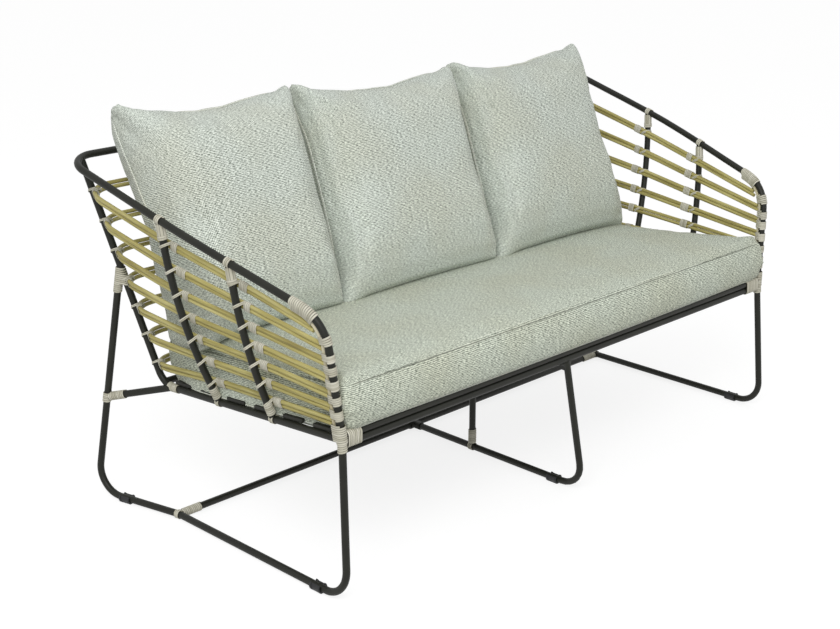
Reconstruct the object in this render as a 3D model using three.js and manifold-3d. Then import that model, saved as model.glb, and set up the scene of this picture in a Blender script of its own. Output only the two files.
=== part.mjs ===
import * as THREE from 'three';
import { mergeVertices } from 'three/addons/utils/BufferGeometryUtils.js';
import Module from 'manifold-3d';

const wasm = await Module();
wasm.setup();

// A garden sofa: a steel tube frame with seven rows of paired canes, and loose cushions.
// Millimetres. X runs along the sofa, Y from the front rail to the back, Z up from the floor.

// Stock and fits
const tubeDiameter = 16;
const caneDiameter = 9;
const clearance = 0.3;
const overrun = 40;
const tubeSides = 10;
const caneSides = 6;
const bendStepAngle = THREE.MathUtils.degToRad(15);
const caneBendStepAngle = THREE.MathUtils.degToRad(24);

// Front rails and the arms' rim
const railHalfLength = 729;
const lowerRailHeight = 340;
const armFrontOut = 27;
const armFrontBack = 13;
const armFrontHeight = 598;
const armFrontBendRadius = 90;
const backRailOut = 109;
const backRailDepth = 748;
const backRailHeight = 807;
const backRailBendRadius = 66;
const armBowOut = 32;
const armBowUp = 11.5;

// Side hoops: each is a side rail that turns up into a back corner post
const hoopIn = 17;
const hoopDepth = 612;
const hoopDrop = 56;
const hoopBendRadius = 40;
const cornerPostIn = 12;

// Posts outside the canes
const frontPostDepth = 249;
const frontPostFootDepth = 215;
const rearPostDepth = 440;
const rearPostFootDepth = 402;
const armPostBow = 10;
const armPostSteps = 5;
const backPostCount = 4;
const backPostKneeOut = 25;
const backPostKneeShare = 0.05;
const backPostBendRadius = 28;

// Canes
const caneCornerBendRadius = 60;
const caneFittingRounds = 8;
const uprightRowShares = [0.876, 0.756, 0.636, 0.5, 0.368, 0.254, 0.14];
const shellRowShares = [0.868, 0.737, 0.607, 0.482, 0.361, 0.233, 0.105];

// Legs and runners
const legToeOut = 15;
const legToeForward = 24;
const legBendRadius = 60;
const stretcherDepth = 534;
const runnerKinkOut = 17;
const heelOut = 72;
const heelDepth = 774;
const rearLegHeight = 568;
const connectorHeight = 250;
const centreLegLean = 47;
const wideFilletRadius = 18;
const narrowFilletRadius = 12;
const filletThickness = 11;
const filletSteps = 5;
const strutDepth = 329;
const teeWall = 2.2;
const teeLength = 36;
const teeSocketLength = 26;

// Foot clips
const clipWall = 2.5;
const clipLength = 30;
const clipCollarLength = 5;
const clipCollarRise = 1.2;
const clipPadWidth = 11;
const clipSteps = 4;
const clipMouthAngle = THREE.MathUtils.degToRad(48);
const frontClipDepth = 64;
const rearClipHeelGap = 87;

// Seat slats
const slatCount = 6;
const slatWidth = 60;
const slatThickness = 9;
const firstSlatDepth = 58;
const lastSlatGap = 77;

// Seat cushion
const seatSideGap = 17;
const seatOverhang = 18;
const seatBackGap = 12;
const seatThickness = 102;
const seatTaper = 8;
const seatCrown = 14;
const seatEar = 8;
const seatDraw = 9;
const seatRound = 12;
const seatGrid = [16, 8, 3];

// Back pillows, in a plane that leans back from the seat a little more than the posts do
const pillowBackGap = 235;
const pillowFootRise = 3;
const pillowSize = 500;
const pillowSettleAngle = THREE.MathUtils.degToRad(7.2);
const pillowBand = 24;
const pillowFrontCrown = 62;
const pillowBackCrown = 150;
const pillowDip = 30;
const pillowFootDip = 10;
const pillowGrid = [10, 10, 2];

const crownPower = 4;
const sagPower = 14;

// The pillows' sides: foot and top in shares of the seat's half width, height and draw in shares of their size
const pillowShares = {
    pillow_left: { foot: [-1.035, -0.479], top: [-1.124, -0.494], height: [1.075, 1.045], draw: [0.04, 0.024] },
    pillow_middle: { foot: [-0.465, 0.254], top: [-0.451, 0.247], height: [1.045, 1.015], draw: [0.03, 0.024] },
    pillow_right: { foot: [0.27, 0.97], top: [0.2725, 0.946], height: [1.03, 1.025], draw: [0.03, 0.01] },
};

// Binding strand round each front upright
const strandWidth = 4;
const strandThickness = 1.8;
const strandPitch = 5;
const strandSteps = 10;
const rowTurnCount = 2;
const footTurnCount = 2;
const bendTurnCount = 7;

const tubeRadius = tubeDiameter / 2;
const caneRadius = caneDiameter / 2;
const floorTubeHeight = clipWall + clearance + tubeRadius;
const shellHeight = lowerRailHeight + (tubeDiameter + clearance) / 2;
const upperRailHeight = lowerRailHeight + tubeDiameter + clearance;
const seatSlope = Math.atan(hoopDrop / hoopDepth);
const seatHalfWidth = railHalfLength - seatSideGap;
const seatLength = hoopDepth + seatOverhang - seatBackGap;

// Finishes
const finishes = {
    steel: { color: 0x2b2d2a, roughness: 0.5, metalness: 0.3 },
    cane: { color: 0xb3a468, roughness: 0.6, metalness: 0 },
    strand: { color: 0xc9c4b1, roughness: 0.7, metalness: 0 },
    slat: { color: 0x26282a, roughness: 0.6, metalness: 0.2 },
    plastic: { color: 0x1d1f21, roughness: 0.55, metalness: 0 },
    fabric: { color: 0xb9c2b6, roughness: 0.95, metalness: 0 },
};

const sofa = new THREE.Group();

function addPiece(name, geometry, finish) {
    geometry.computeVertexNormals();
    const mesh = new THREE.Mesh(geometry, new THREE.MeshStandardMaterial(finish));
    mesh.name = name;
    sofa.add(mesh);
    return mesh;
}

// Closed geometry to a solid and back
function solidOf(geometry) {
    const bare = geometry.clone();
    bare.deleteAttribute('normal');
    bare.deleteAttribute('uv');
    const merged = mergeVertices(bare);
    const vertProperties = new Float32Array(merged.attributes.position.array);
    const triVerts = new Uint32Array(merged.index.array);
    return new wasm.Manifold(new wasm.Mesh({ numProp: 3, vertProperties, triVerts }));
}

function geometryOf(solid) {
    const pieces = solid.decompose();
    pieces.sort((first, second) => second.volume() - first.volume());
    const mesh = pieces[0].getMesh();
    const geometry = new THREE.BufferGeometry();
    geometry.setAttribute('position', new THREE.BufferAttribute(mesh.vertProperties, 3));
    geometry.setIndex(new THREE.BufferAttribute(mesh.triVerts, 1));
    return geometry;
}

function cutBy(solid, cutters) {
    return cutters.reduce((rest, cutter) => rest.subtract(cutter), solid);
}

// A path that keeps its own stations, so that straight runs take one step
class Route extends THREE.Curve {
    constructor(stations) {
        super();
        this.stations = stations;
    }

    getSpacedPoints() {
        return this.stations;
    }

    getTangentAt(share, target = new THREE.Vector3()) {
        const last = this.stations.length - 1;
        const index = Math.round(share * last);
        const arriving = heading(this.stations, Math.max(index, 1));
        const leaving = heading(this.stations, Math.min(index + 1, last));
        return target.addVectors(arriving, leaving).normalize();
    }
}

function heading(stations, index) {
    return stations[index].clone().sub(stations[index - 1]).normalize();
}

function point(x, y, z) {
    return new THREE.Vector3(x, y, z);
}

function mirrored(stations) {
    return stations.map((station) => point(-station.x, station.y, station.z));
}

// Straight legs joined by round bends. A bend with no radius bows as far as its legs allow.
function bentRoute(corners, radii, stepAngle = bendStepAngle) {
    const bends = radii.map((radius, index) => {
        const arriving = heading(corners, index + 1);
        const leaving = heading(corners, index + 2);
        const angle = arriving.angleTo(leaving);
        const reach = radius === null ? 0 : radius * Math.tan(angle / 2);
        return { corner: corners[index + 1], arriving, leaving, angle, reach, bowed: radius === null };
    });
    bends.filter((bend) => bend.bowed).forEach((bend) => {
        const index = bends.indexOf(bend);
        const before = bend.corner.distanceTo(corners[index]) - (bends[index - 1]?.reach ?? 0);
        const after = bend.corner.distanceTo(corners[index + 2]) - (bends[index + 1]?.reach ?? 0);
        bend.reach = Math.min(before, after);
    });
    const stations = [corners[0]];
    const middles = bends.map((bend) => {
        const arc = bendArc(bend, stepAngle);
        arc.stations.forEach((station) => {
            if (station.distanceTo(stations[stations.length - 1]) > clearance) stations.push(station);
        });
        return arc.middle;
    });
    stations.push(corners[corners.length - 1]);
    return { stations, middles };
}

function bendArc({ corner, arriving, leaving, angle, reach }, stepAngle) {
    const radius = reach / Math.tan(angle / 2);
    const toCentre = leaving.clone().sub(arriving).normalize();
    const centre = corner.clone().addScaledVector(toCentre, radius / Math.cos(angle / 2));
    const from = corner.clone().addScaledVector(arriving, -reach).sub(centre);
    const to = corner.clone().addScaledVector(leaving, reach).sub(centre);
    const steps = Math.max(2, Math.ceil(angle / stepAngle));
    const stations = [];
    for (let step = 0; step <= steps; step += 1) {
        const share = step / steps;
        const station = centre.clone();
        station.addScaledVector(from, Math.sin((1 - share) * angle) / Math.sin(angle));
        station.addScaledVector(to, Math.sin(share * angle) / Math.sin(angle));
        stations.push(station);
    }
    return { stations, middle: centre.clone().addScaledVector(toCentre, -radius) };
}

// The point on a route where one coordinate first reaches a value
function pointWhere(stations, axis, value) {
    const index = stations.findIndex((station, place) => place > 0
        && (station[axis] - value) * (stations[place - 1][axis] - value) <= 0);
    const [before, after] = [stations[index - 1], stations[index]];
    return before.clone().lerp(after, (value - before[axis]) / (after[axis] - before[axis]));
}

// The least distance between two routes
function apart(stations, others) {
    let least = Infinity;
    for (let index = 1; index < stations.length; index += 1) {
        for (let other = 1; other < others.length; other += 1) {
            const here = [stations[index - 1], stations[index]];
            const there = [others[other - 1], others[other]];
            least = Math.min(least, segmentGap(here, there));
        }
    }
    return least;
}

function segmentGap([start, end], [otherStart, otherEnd]) {
    const along = end.clone().sub(start);
    const across = otherEnd.clone().sub(otherStart);
    const between = start.clone().sub(otherStart);
    const [a, b, c] = [along.dot(along), along.dot(across), across.dot(across)];
    const [d, e] = [along.dot(between), across.dot(between)];
    const spread = a * c - b * b;
    const limit = THREE.MathUtils.clamp;
    const share = spread > 0 ? limit((b * e - c * d) / spread, 0, 1) : 0;
    const otherShare = limit((b * share + e) / c, 0, 1);
    const nearest = limit((b * otherShare - d) / a, 0, 1);
    const here = start.clone().addScaledVector(along, nearest);
    return here.distanceTo(otherStart.clone().addScaledVector(across, otherShare));
}

function polygon(radius, sides) {
    const corners = [];
    for (let side = 0; side < sides; side += 1) {
        const angle = (side / sides) * Math.PI * 2;
        corners.push(new THREE.Vector2(radius * Math.cos(angle), radius * Math.sin(angle)));
    }
    return new THREE.Shape(corners);
}

function rod(stations, radius = tubeRadius, sides = tubeSides) {
    const extrudePath = new Route(stations);
    const steps = stations.length - 1;
    return solidOf(new THREE.ExtrudeGeometry(polygon(radius, sides), { steps, extrudePath }));
}

// The room that a tube needs round it
function room(stations, radius = tubeRadius) {
    return rod(stations, (radius + clearance) / Math.cos(Math.PI / tubeSides));
}

function block(x, y, z, centre) {
    const geometry = new THREE.BoxGeometry(x, y, z);
    geometry.translate(centre.x, centre.y, centre.z);
    return solidOf(geometry);
}

// Routes of the right side. The left side is their mirror image.
const uprightFoot = point(railHalfLength, 0, shellHeight);
const armFront = point(railHalfLength + armFrontOut, armFrontBack, armFrontHeight);
const backCorner = point(railHalfLength + backRailOut, backRailDepth, backRailHeight);
const armBow = armFront.clone().lerp(backCorner, 0.5).add(point(armBowOut, 0, armBowUp));
const uprightStart = uprightFoot.clone().lerp(armFront, -tubeDiameter / armFront.distanceTo(uprightFoot));
const rimHalf = bentRoute(
    [uprightStart, armFront, armBow, backCorner, point(0, backRailDepth, backRailHeight)],
    [armFrontBendRadius, null, backRailBendRadius],
);
const rightRim = rimHalf.stations;
const wholeRim = [...rightRim.slice(0, -1), ...mirrored(rightRim).slice(0, -1).reverse()];

const hoopCorner = point(railHalfLength - hoopIn, hoopDepth, shellHeight - hoopDrop);
const cornerPostTop = pointWhere([...rightRim].reverse(), 'x', rimHalf.middles[2].x - cornerPostIn);
const hoop = bentRoute([uprightFoot, hoopCorner, cornerPostTop], [hoopBendRadius]);
const sideRail = [uprightFoot, hoopCorner];

const legToe = point(railHalfLength + legToeOut, -legToeForward, floorTubeHeight);
const runnerKink = point(railHalfLength + runnerKinkOut, stretcherDepth, floorTubeHeight);
const heel = point(railHalfLength + heelOut, heelDepth, floorTubeHeight);
const legStart = uprightFoot.clone().lerp(legToe, -tubeDiameter / uprightFoot.distanceTo(legToe));
const rearLegTop = pointWhere(hoop.stations, 'z', rearLegHeight);
const leg = bentRoute([legStart, legToe, runnerKink, heel, rearLegTop], [legBendRadius, legBendRadius, legBendRadius]);

const upperRail = [point(-railHalfLength, 0, upperRailHeight), point(railHalfLength, 0, upperRailHeight)];
const lowerRail = [point(-railHalfLength, 0, lowerRailHeight), point(railHalfLength, 0, lowerRailHeight)];
const backSeatRail = [mirrored(hoop.middles)[0], hoop.middles[0]];

const sides = [
    { side: 'left', place: mirrored },
    { side: 'right', place: (stations) => stations },
];

function addTube(name, solid) {
    addPiece(name, geometryOf(solid), finishes.steel);
}

// Rim: two front uprights, the arms and the top rail of the back, bent from one tube
function addRim() {
    const below = point(0, 0, uprightFoot.z + clearance / 2 - overrun);
    const width = (railHalfLength + overrun) * 2;
    addTube('rim_tube', cutBy(rod(wholeRim), [block(width, overrun * 2, overrun * 2, below)]));
}

// Side rails with back corner posts, and the rails at the front and back of the seat
function addShellFrame() {
    sides.forEach(({ side, place }) => {
        const cutters = [rightRim, leg.stations, upperRail, lowerRail].map((route) => room(place(route)));
        addTube(`side_hoop_${side}`, cutBy(rod(place(hoop.stations)), cutters));
    });
    const rimRoom = sides.map(({ place }) => room(place(rightRim)));
    const legRoom = sides.map(({ place }) => room(place(leg.stations)));
    const hoopRoom = sides.map(({ place }) => room(place(hoop.stations)));
    addTube('front_rail_upper', cutBy(rod(upperRail), rimRoom));
    addTube('front_rail_lower', cutBy(rod(lowerRail), legRoom));
    addTube('seat_back_rail', cutBy(rod(backSeatRail), hoopRoom));
}

// Arm posts stand upright at the rim and curve in to the side rail
function armPost(depth, footDepth) {
    const top = pointWhere(rightRim, 'y', depth);
    const foot = pointWhere(sideRail, 'y', footDepth);
    const belly = foot.clone().lerp(top, 0.5);
    belly.x = top.x - armPostBow;
    return new THREE.QuadraticBezierCurve3(foot, belly, top);
}

const armPosts = [
    { name: 'arm_post_front', curve: armPost(frontPostDepth, frontPostFootDepth) },
    { name: 'arm_post_rear', curve: armPost(rearPostDepth, rearPostFootDepth) },
];
const armPostRoutes = armPosts.map(({ curve }) => curve.getPoints(armPostSteps));

function addArmPosts() {
    sides.forEach(({ side, place }) => {
        const cutters = [room(place(rightRim)), room(place(hoop.stations))];
        armPosts.forEach(({ name }, index) => {
            addTube(`${name}_${side}`, cutBy(rod(place(armPostRoutes[index])), cutters));
        });
    });
}

// Back posts lean back in a straight line, then turn in under the lowest cane to the seat's back rail
const backPostTop = point(0, backRailDepth, backRailHeight);
const kneeHeight = THREE.MathUtils.lerp(hoopCorner.z, backRailHeight, backPostKneeShare);
const backPostKnee = point(0, hoopDepth + backPostKneeOut, kneeHeight);
const backLean = heading([backPostTop, backPostKnee], 1).angleTo(point(0, 0, -1));

function backPostRoute(x) {
    const rail = hoop.middles[0];
    const corners = [backPostTop.clone(), backPostKnee.clone(), point(0, rail.y, rail.z)];
    corners.forEach((corner) => corner.setX(x));
    return bentRoute(corners, [backPostBendRadius]).stations;
}

const backPostPlaces = Array.from({ length: backPostCount }, (_, index) => {
    const share = (index + 1) / (backPostCount + 1);
    return (share * 2 - 1) * railHalfLength;
});

function addBackPosts() {
    const cutters = [room(wholeRim), room(backSeatRail)];
    backPostPlaces.forEach((x, index) => {
        addTube(`back_post_${index + 1}`, cutBy(rod(backPostRoute(x)), cutters));
    });
}

// Legs: one tube runs down the front, along the floor and up to the back corner post
function addLegs() {
    const above = point(0, 0, shellHeight - clearance / 2 + overrun);
    const cap = block((railHalfLength + overrun) * 2, overrun * 2, overrun * 2, above);
    sides.forEach(({ side, place }) => {
        const cutters = [cap, room(place(hoop.stations))];
        addTube(`leg_loop_${side}`, cutBy(rod(place(leg.stations)), cutters));
        const rearLeg = [heel, rearLegTop];
        const connector = [pointWhere(rearLeg, 'z', connectorHeight), hoop.stations[1]];
        const ends = [room(place(leg.stations)), room(place(hoop.stations)), room(backSeatRail)];
        addTube(`connector_${side}`, cutBy(rod(place(connector)), ends));
    });
}

const stretcher = [mirrored([runnerKink])[0], runnerKink];
const centreRail = pointWhere(lowerRail, 'x', -centreLegLean);
const centreToe = point(0, -legToeForward, floorTubeHeight);
const runnerEnd = point(0, stretcherDepth - tubeRadius - clearance, floorTubeHeight);
const centreLeg = bentRoute([centreRail, centreToe, runnerEnd], [legBendRadius]).stations;
const bearer = [point(0, 0, shellHeight), point(0, hoopDepth, shellHeight - hoopDrop)];
const strut = [point(0, strutDepth, floorTubeHeight), pointWhere(bearer, 'y', strutDepth)];

// Weld fillets that spread the centre leg under the rail, one wider than the other
function filletPlate() {
    const shape = new THREE.Shape();
    shape.moveTo(-tubeRadius - wideFilletRadius, 0);
    shape.quadraticCurveTo(-tubeRadius, 0, -tubeRadius, -wideFilletRadius);
    shape.lineTo(tubeRadius, -narrowFilletRadius);
    shape.quadraticCurveTo(tubeRadius, 0, tubeRadius + narrowFilletRadius, 0);
    shape.lineTo(tubeRadius + narrowFilletRadius, tubeRadius);
    shape.lineTo(-tubeRadius - wideFilletRadius, tubeRadius);
    const settings = { depth: filletThickness, bevelEnabled: false, curveSegments: filletSteps };
    const plate = new THREE.ExtrudeGeometry(shape, settings);
    plate.translate(0, 0, -filletThickness / 2);
    plate.rotateX(Math.PI / 2);
    plate.translate(centreRail.x, 0, lowerRailHeight - tubeRadius);
    return solidOf(plate);
}

function addCentreFrame() {
    const runners = sides.map(({ place }) => room(place(leg.stations)));
    addTube('stretcher', cutBy(rod(stretcher), runners));
    addTube('centre_leg', cutBy(rod(centreLeg).add(filletPlate()), [room(lowerRail)]));
    addTube('centre_strut', cutBy(rod(strut), [room(centreLeg), room(bearer)]));
    addTube('centre_bearer', cutBy(rod(bearer), [room(upperRail), room(lowerRail), room(backSeatRail)]));
}

// Tee: a sleeve round the stretcher with a socket for the centre runner
function addTee() {
    const outer = tubeRadius + clearance + teeWall;
    const middle = point(0, stretcherDepth, floorTubeHeight);
    const sleeveEnd = point(teeLength / 2, stretcherDepth, floorTubeHeight);
    const socketEnd = point(0, stretcherDepth - teeSocketLength, floorTubeHeight);
    const boreEnd = point(0, stretcherDepth - teeSocketLength - overrun, floorTubeHeight);
    const sleeve = rod([mirrored([sleeveEnd])[0], sleeveEnd], outer);
    const body = sleeve.add(rod([middle, socketEnd], outer));
    const tee = cutBy(body, [room(stretcher), room([middle, boreEnd])]);
    addPiece('stretcher_tee', geometryOf(tee), finishes.steel);
}

// Foot clips: snap-on plastic shoes under the runners, open at the top, with raised ends
function clipSection(outer) {
    const inner = tubeRadius + clearance;
    const pad = Math.asin(clipPadWidth / 2 / outer);
    const top = Math.PI / 2;
    const shape = new THREE.Shape();
    shape.absarc(0, 0, outer, top + clipMouthAngle, top * 3 - pad, false);
    shape.lineTo(-clipPadWidth / 2, -floorTubeHeight);
    shape.lineTo(clipPadWidth / 2, -floorTubeHeight);
    shape.absarc(0, 0, outer, -top + pad, top - clipMouthAngle, false);
    const bore = inner / Math.cos(Math.PI / tubeSides);
    shape.absarc(0, 0, bore, top - clipMouthAngle, -top * 3 + clipMouthAngle, true);
    return shape;
}

function clipGeometry() {
    const outer = tubeRadius + clearance + clipWall;
    const run = (radius, depth, start) => {
        const settings = { depth, bevelEnabled: false, curveSegments: clipSteps };
        const geometry = new THREE.ExtrudeGeometry(clipSection(radius), settings);
        geometry.translate(0, 0, start);
        geometry.rotateX(Math.PI / 2);
        return solidOf(geometry);
    };
    const floor = block(overrun, overrun * 2, overrun, point(0, 0, -floorTubeHeight - overrun / 2));
    const body = run(outer, clipLength - clipCollarLength, (clipCollarLength - clipLength) / 2);
    const collars = [-clipLength / 2, clipLength / 2 - clipCollarLength].map((start) => {
        return run(outer + clipCollarRise, clipCollarLength, start);
    });
    return geometryOf(cutBy(body.add(collars[0]).add(collars[1]), [floor]));
}

function addClip(name, route, depth) {
    const place = pointWhere(route, 'y', depth);
    const ahead = pointWhere(route, 'y', depth + clipLength / 2);
    const clip = addPiece(name, clipGeometry(), finishes.plastic);
    clip.position.copy(place);
    clip.rotation.z = Math.atan2(place.x - ahead.x, ahead.y - place.y);
}

function addClips() {
    sides.forEach(({ side, place }) => {
        const front = [legToe, runnerKink];
        addClip(`foot_clip_front_${side}`, place(front), frontClipDepth);
        addClip(`foot_clip_rear_${side}`, place([runnerKink, heel]), heelDepth - rearClipHeelGap);
    });
    addClip('foot_clip_centre', [centreToe, runnerEnd], frontClipDepth);
}

// Seat slats rest on the side rails and the centre bearer, notched round the arm posts
function addSlats() {
    const posts = sides.flatMap(({ place }) => armPostRoutes.map((route) => room(place(route))));
    for (let index = 0; index < slatCount; index += 1) {
        const share = index / (slatCount - 1);
        const depth = THREE.MathUtils.lerp(firstSlatDepth, hoopDepth - lastSlatGap, share);
        const length = pointWhere(sideRail, 'y', depth).x * 2;
        const geometry = new THREE.BoxGeometry(length, slatWidth, slatThickness);
        geometry.translate(0, depth / Math.cos(seatSlope), tubeRadius + clearance + slatThickness / 2);
        geometry.rotateX(-seatSlope);
        geometry.translate(0, 0, shellHeight);
        addPiece(`seat_slat_${index + 1}`, geometryOf(cutBy(solidOf(geometry), posts)), finishes.slat);
    }
}

// Canes run inside the posts, in pairs, from upright to upright round the back
const caneReach = tubeRadius + caneRadius + clearance;
const canePitch = caneDiameter + clearance * 2;
const fillerReach = tubeRadius + caneRadius + clearance;
const caneEndReach = fillerReach + caneRadius + strandThickness + clearance * 4;

function postCrossing(curve, share, step) {
    const shifted = share + (step * canePitch) / curve.getLength();
    const tangent = curve.getTangent(shifted);
    const inward = point(-tangent.z, 0, tangent.x).normalize();
    return { place: curve.getPoint(shifted).addScaledVector(inward, caneReach), inward };
}

// A cane stops short of the upright by the filler cane and the binding round it
function caneStart(row, step, towards) {
    const rise = armFrontHeight - shellHeight;
    const height = shellHeight + uprightRowShares[row] * rise + step * canePitch;
    const start = pointWhere(rightRim, 'z', height);
    const place = rightRim.findIndex((station) => station.z > height);
    const along = heading(rightRim, place + 1);
    const ahead = towards.clone().sub(start).normalize();
    const angle = along.angleTo(ahead);
    const reach = (caneEndReach + caneRadius * Math.abs(Math.cos(angle))) / Math.sin(angle);
    return start.addScaledVector(ahead, reach);
}

// Each crossing, and the bend at the back corner, is moved until the cane just clears its post
function caneRoute(row, step) {
    const crossings = armPosts.map(({ curve }) => postCrossing(curve, shellRowShares[row], step));
    const start = caneStart(row, step, crossings[0].place);
    const shellRise = backCorner.z - hoopCorner.z;
    const height = hoopCorner.z + shellRowShares[row] * shellRise + step * canePitch;
    const depth = pointWhere([backPostTop, backPostKnee], 'z', height).y;
    const corner = pointWhere([hoopCorner, backCorner], 'z', height);
    corner.y = depth - caneReach / Math.cos(backLean);
    let route = null;
    for (let attempt = 0; attempt < caneFittingRounds; attempt += 1) {
        const back = point(0, corner.y, corner.z);
        const corners = [start, ...crossings.map(({ place }) => place), corner, back];
        route = bentRoute(corners, [0, 0, caneCornerBendRadius], caneBendStepAngle).stations;
        corner.x += apart(route, hoop.stations) - caneReach;
        crossings.forEach(({ place, inward }, index) => {
            place.addScaledVector(inward, caneReach - apart(route, armPostRoutes[index]));
        });
    }
    return [...route.slice(0, -1), ...mirrored(route).slice(0, -1).reverse()];
}

function addCanes() {
    uprightRowShares.forEach((share, row) => {
        [0.5, -0.5].forEach((step) => {
            const name = `cane_${row + 1}_${step > 0 ? 'upper' : 'lower'}`;
            const route = caneRoute(row, step);
            addPiece(name, geometryOf(rod(route, caneRadius, caneSides)), finishes.cane);
        });
    });
}

// Front upright: where the binding and its filler cane lie, by distance along the tube
const uprightAxis = armFront.clone().sub(uprightFoot).normalize();
const armAxis = armBow.clone().sub(armFront).normalize();
const bendNormal = uprightAxis.clone().cross(armAxis).normalize();

function uprightFrame(distance) {
    let left = distance;
    for (let index = 1; index < rightRim.length; index += 1) {
        const length = rightRim[index].distanceTo(rightRim[index - 1]);
        if (left <= length) {
            const tangent = heading(rightRim, index);
            const share = left / length;
            const before = new Route(rightRim).getTangentAt((index - 1) / (rightRim.length - 1));
            const after = new Route(rightRim).getTangentAt(index / (rightRim.length - 1));
            const blended = before.lerp(after, share).normalize();
            const place = rightRim[index - 1].clone().addScaledVector(tangent, left);
            return { place, tangent: blended, inward: bendNormal.clone().cross(blended).normalize() };
        }
        left -= length;
    }
    return null;
}

const footDistance = tubeDiameter * 2 + strandWidth / 2 + clearance * 2;
const bendReach = armFrontBendRadius * Math.tan(uprightAxis.angleTo(armAxis) / 2);
const uprightLength = armFront.distanceTo(uprightStart);
const bendEnd = uprightLength - bendReach + armFrontBendRadius * uprightAxis.angleTo(armAxis);
const topDistance = bendEnd + tubeDiameter;

function fillerRoute() {
    const distances = [footDistance];
    let distance = 0;
    rightRim.slice(1).forEach((station, index) => {
        distance += station.distanceTo(rightRim[index]);
        if (distance > footDistance && distance < topDistance - strandPitch) distances.push(distance);
    });
    return [...distances, topDistance].map((along) => {
        const frame = uprightFrame(along);
        return frame.place.addScaledVector(frame.inward, fillerReach);
    });
}

function addFillers() {
    sides.forEach(({ side, place }) => {
        const filler = cutBy(rod(place(fillerRoute()), caneRadius, caneSides), [room(place(hoop.stations))]);
        addPiece(`filler_cane_${side}`, geometryOf(filler), finishes.cane);
    });
}

// Binding: one flat strand wound round the upright and its filler, grouped at each row of canes.
// A turn that would touch the one below it is left out.
function bindingDistances() {
    const distances = [];
    const addTurns = (start, turns) => {
        for (let turn = 0; turn < turns; turn += 1) {
            const distance = start + turn * strandPitch;
            const below = distances[distances.length - 1] ?? 0;
            if (distance - below >= strandWidth + clearance) distances.push(distance);
        }
    };
    addTurns(footDistance, footTurnCount);
    [...uprightRowShares].reverse().forEach((share) => {
        const middle = tubeDiameter + share * armFront.distanceTo(uprightFoot);
        addTurns(middle - ((rowTurnCount - 1) * strandPitch) / 2, rowTurnCount);
    });
    const last = distances[distances.length - 1];
    const bendPitch = (topDistance - last - strandPitch) / bendTurnCount;
    for (let turn = 1; turn <= bendTurnCount; turn += 1) distances.push(last + turn * bendPitch);
    return distances;
}

// Outline of the strand's middle round the tube and the filler: two arcs joined by straights
function bindingOutline(share) {
    const big = tubeRadius + strandThickness / 2 + clearance * 3;
    const small = caneRadius + strandThickness / 2 + clearance * 3;
    const half = Math.acos((big - small) / fillerReach);
    const bigSteps = Math.round(strandSteps / 2);
    const smallSteps = strandSteps - bigSteps - 2;
    const step = share * strandSteps;
    const onBig = step <= bigSteps;
    const bigAngle = half + (step / bigSteps) * (Math.PI * 2 - half * 2);
    const smallAngle = -half + ((step - bigSteps - 1) / smallSteps) * half * 2;
    const angle = onBig ? bigAngle : smallAngle;
    const radius = onBig ? big : small;
    const shift = onBig ? 0 : fillerReach;
    return { inward: shift + radius * Math.cos(angle), across: radius * Math.sin(angle), angle };
}

function strandStation(distance, share) {
    const frame = uprightFrame(distance);
    const { inward, across, angle } = bindingOutline(share);
    const sideways = frame.tangent.clone().cross(frame.inward);
    const outward = frame.inward.clone().multiplyScalar(Math.cos(angle));
    outward.addScaledVector(sideways, Math.sin(angle));
    const place = frame.place.clone().addScaledVector(frame.inward, inward);
    place.addScaledVector(sideways, across);
    return { place, outward, along: frame.tangent };
}

// An end of the strand runs straight on, over the strand's width, along the side of the binding
function strandTail(distance, share, nextShare) {
    const end = strandStation(distance, share);
    const next = strandStation(distance, nextShare);
    const gap = end.place.distanceTo(next.place);
    return { ...end, place: end.place.lerp(next.place, strandWidth / gap) };
}

function bindingStations() {
    const distances = bindingDistances();
    const lastShare = (strandSteps - 1) / strandSteps;
    const stations = [strandTail(distances[0], 0, lastShare)];
    let distance = 0;
    for (let turn = 0; turn < distances.length - 1; turn += 1) {
        for (let step = 0; step < strandSteps; step += 1) {
            const share = step / strandSteps;
            distance = distances[turn] + share * (distances[turn + 1] - distances[turn]);
            stations.push(strandStation(distance, share));
        }
    }
    stations.push(strandTail(distance, lastShare, 0));
    return stations;
}

// A flat strand: each station has four corners, and both ends are closed
function strandGeometry(stations, flip) {
    const corners = [[0.5, 0.5], [-0.5, 0.5], [-0.5, -0.5], [0.5, -0.5]];
    const positions = [];
    stations.forEach(({ place, outward, along }) => {
        corners.forEach(([wide, thick]) => {
            const corner = place.clone().addScaledVector(along, wide * strandWidth);
            corner.addScaledVector(outward, thick * strandThickness);
            positions.push(corner.x * flip, corner.y, corner.z);
        });
    });
    const faces = [];
    const count = corners.length;
    const addFace = (a, b, c) => faces.push(...(flip > 0 ? [a, b, c] : [a, c, b]));
    for (let ring = 0; ring < stations.length - 1; ring += 1) {
        for (let corner = 0; corner < count; corner += 1) {
            const here = ring * count + corner;
            const beside = ring * count + ((corner + 1) % count);
            addFace(here, beside, beside + count);
            addFace(here, beside + count, here + count);
        }
    }
    const end = (stations.length - 1) * count;
    for (let corner = 1; corner < count - 1; corner += 1) {
        addFace(corner + 1, corner, 0);
        addFace(end, end + corner, end + corner + 1);
    }
    const geometry = new THREE.BufferGeometry();
    geometry.setAttribute('position', new THREE.Float32BufferAttribute(positions, 3));
    geometry.setIndex(faces);
    return geometry;
}

function leastTurnGap(stations) {
    let least = Infinity;
    for (let index = 0; index < stations.length; index += 1) {
        for (let other = index + strandSteps / 2; other < stations.length; other += 1) {
            const apartAlong = stations[other].place.clone().sub(stations[index].place);
            const flat = Math.abs(apartAlong.dot(stations[index].outward));
            const lengthways = apartAlong.length();
            if (flat < strandThickness) least = Math.min(least, lengthways - strandWidth);
        }
    }
    return least;
}

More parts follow.
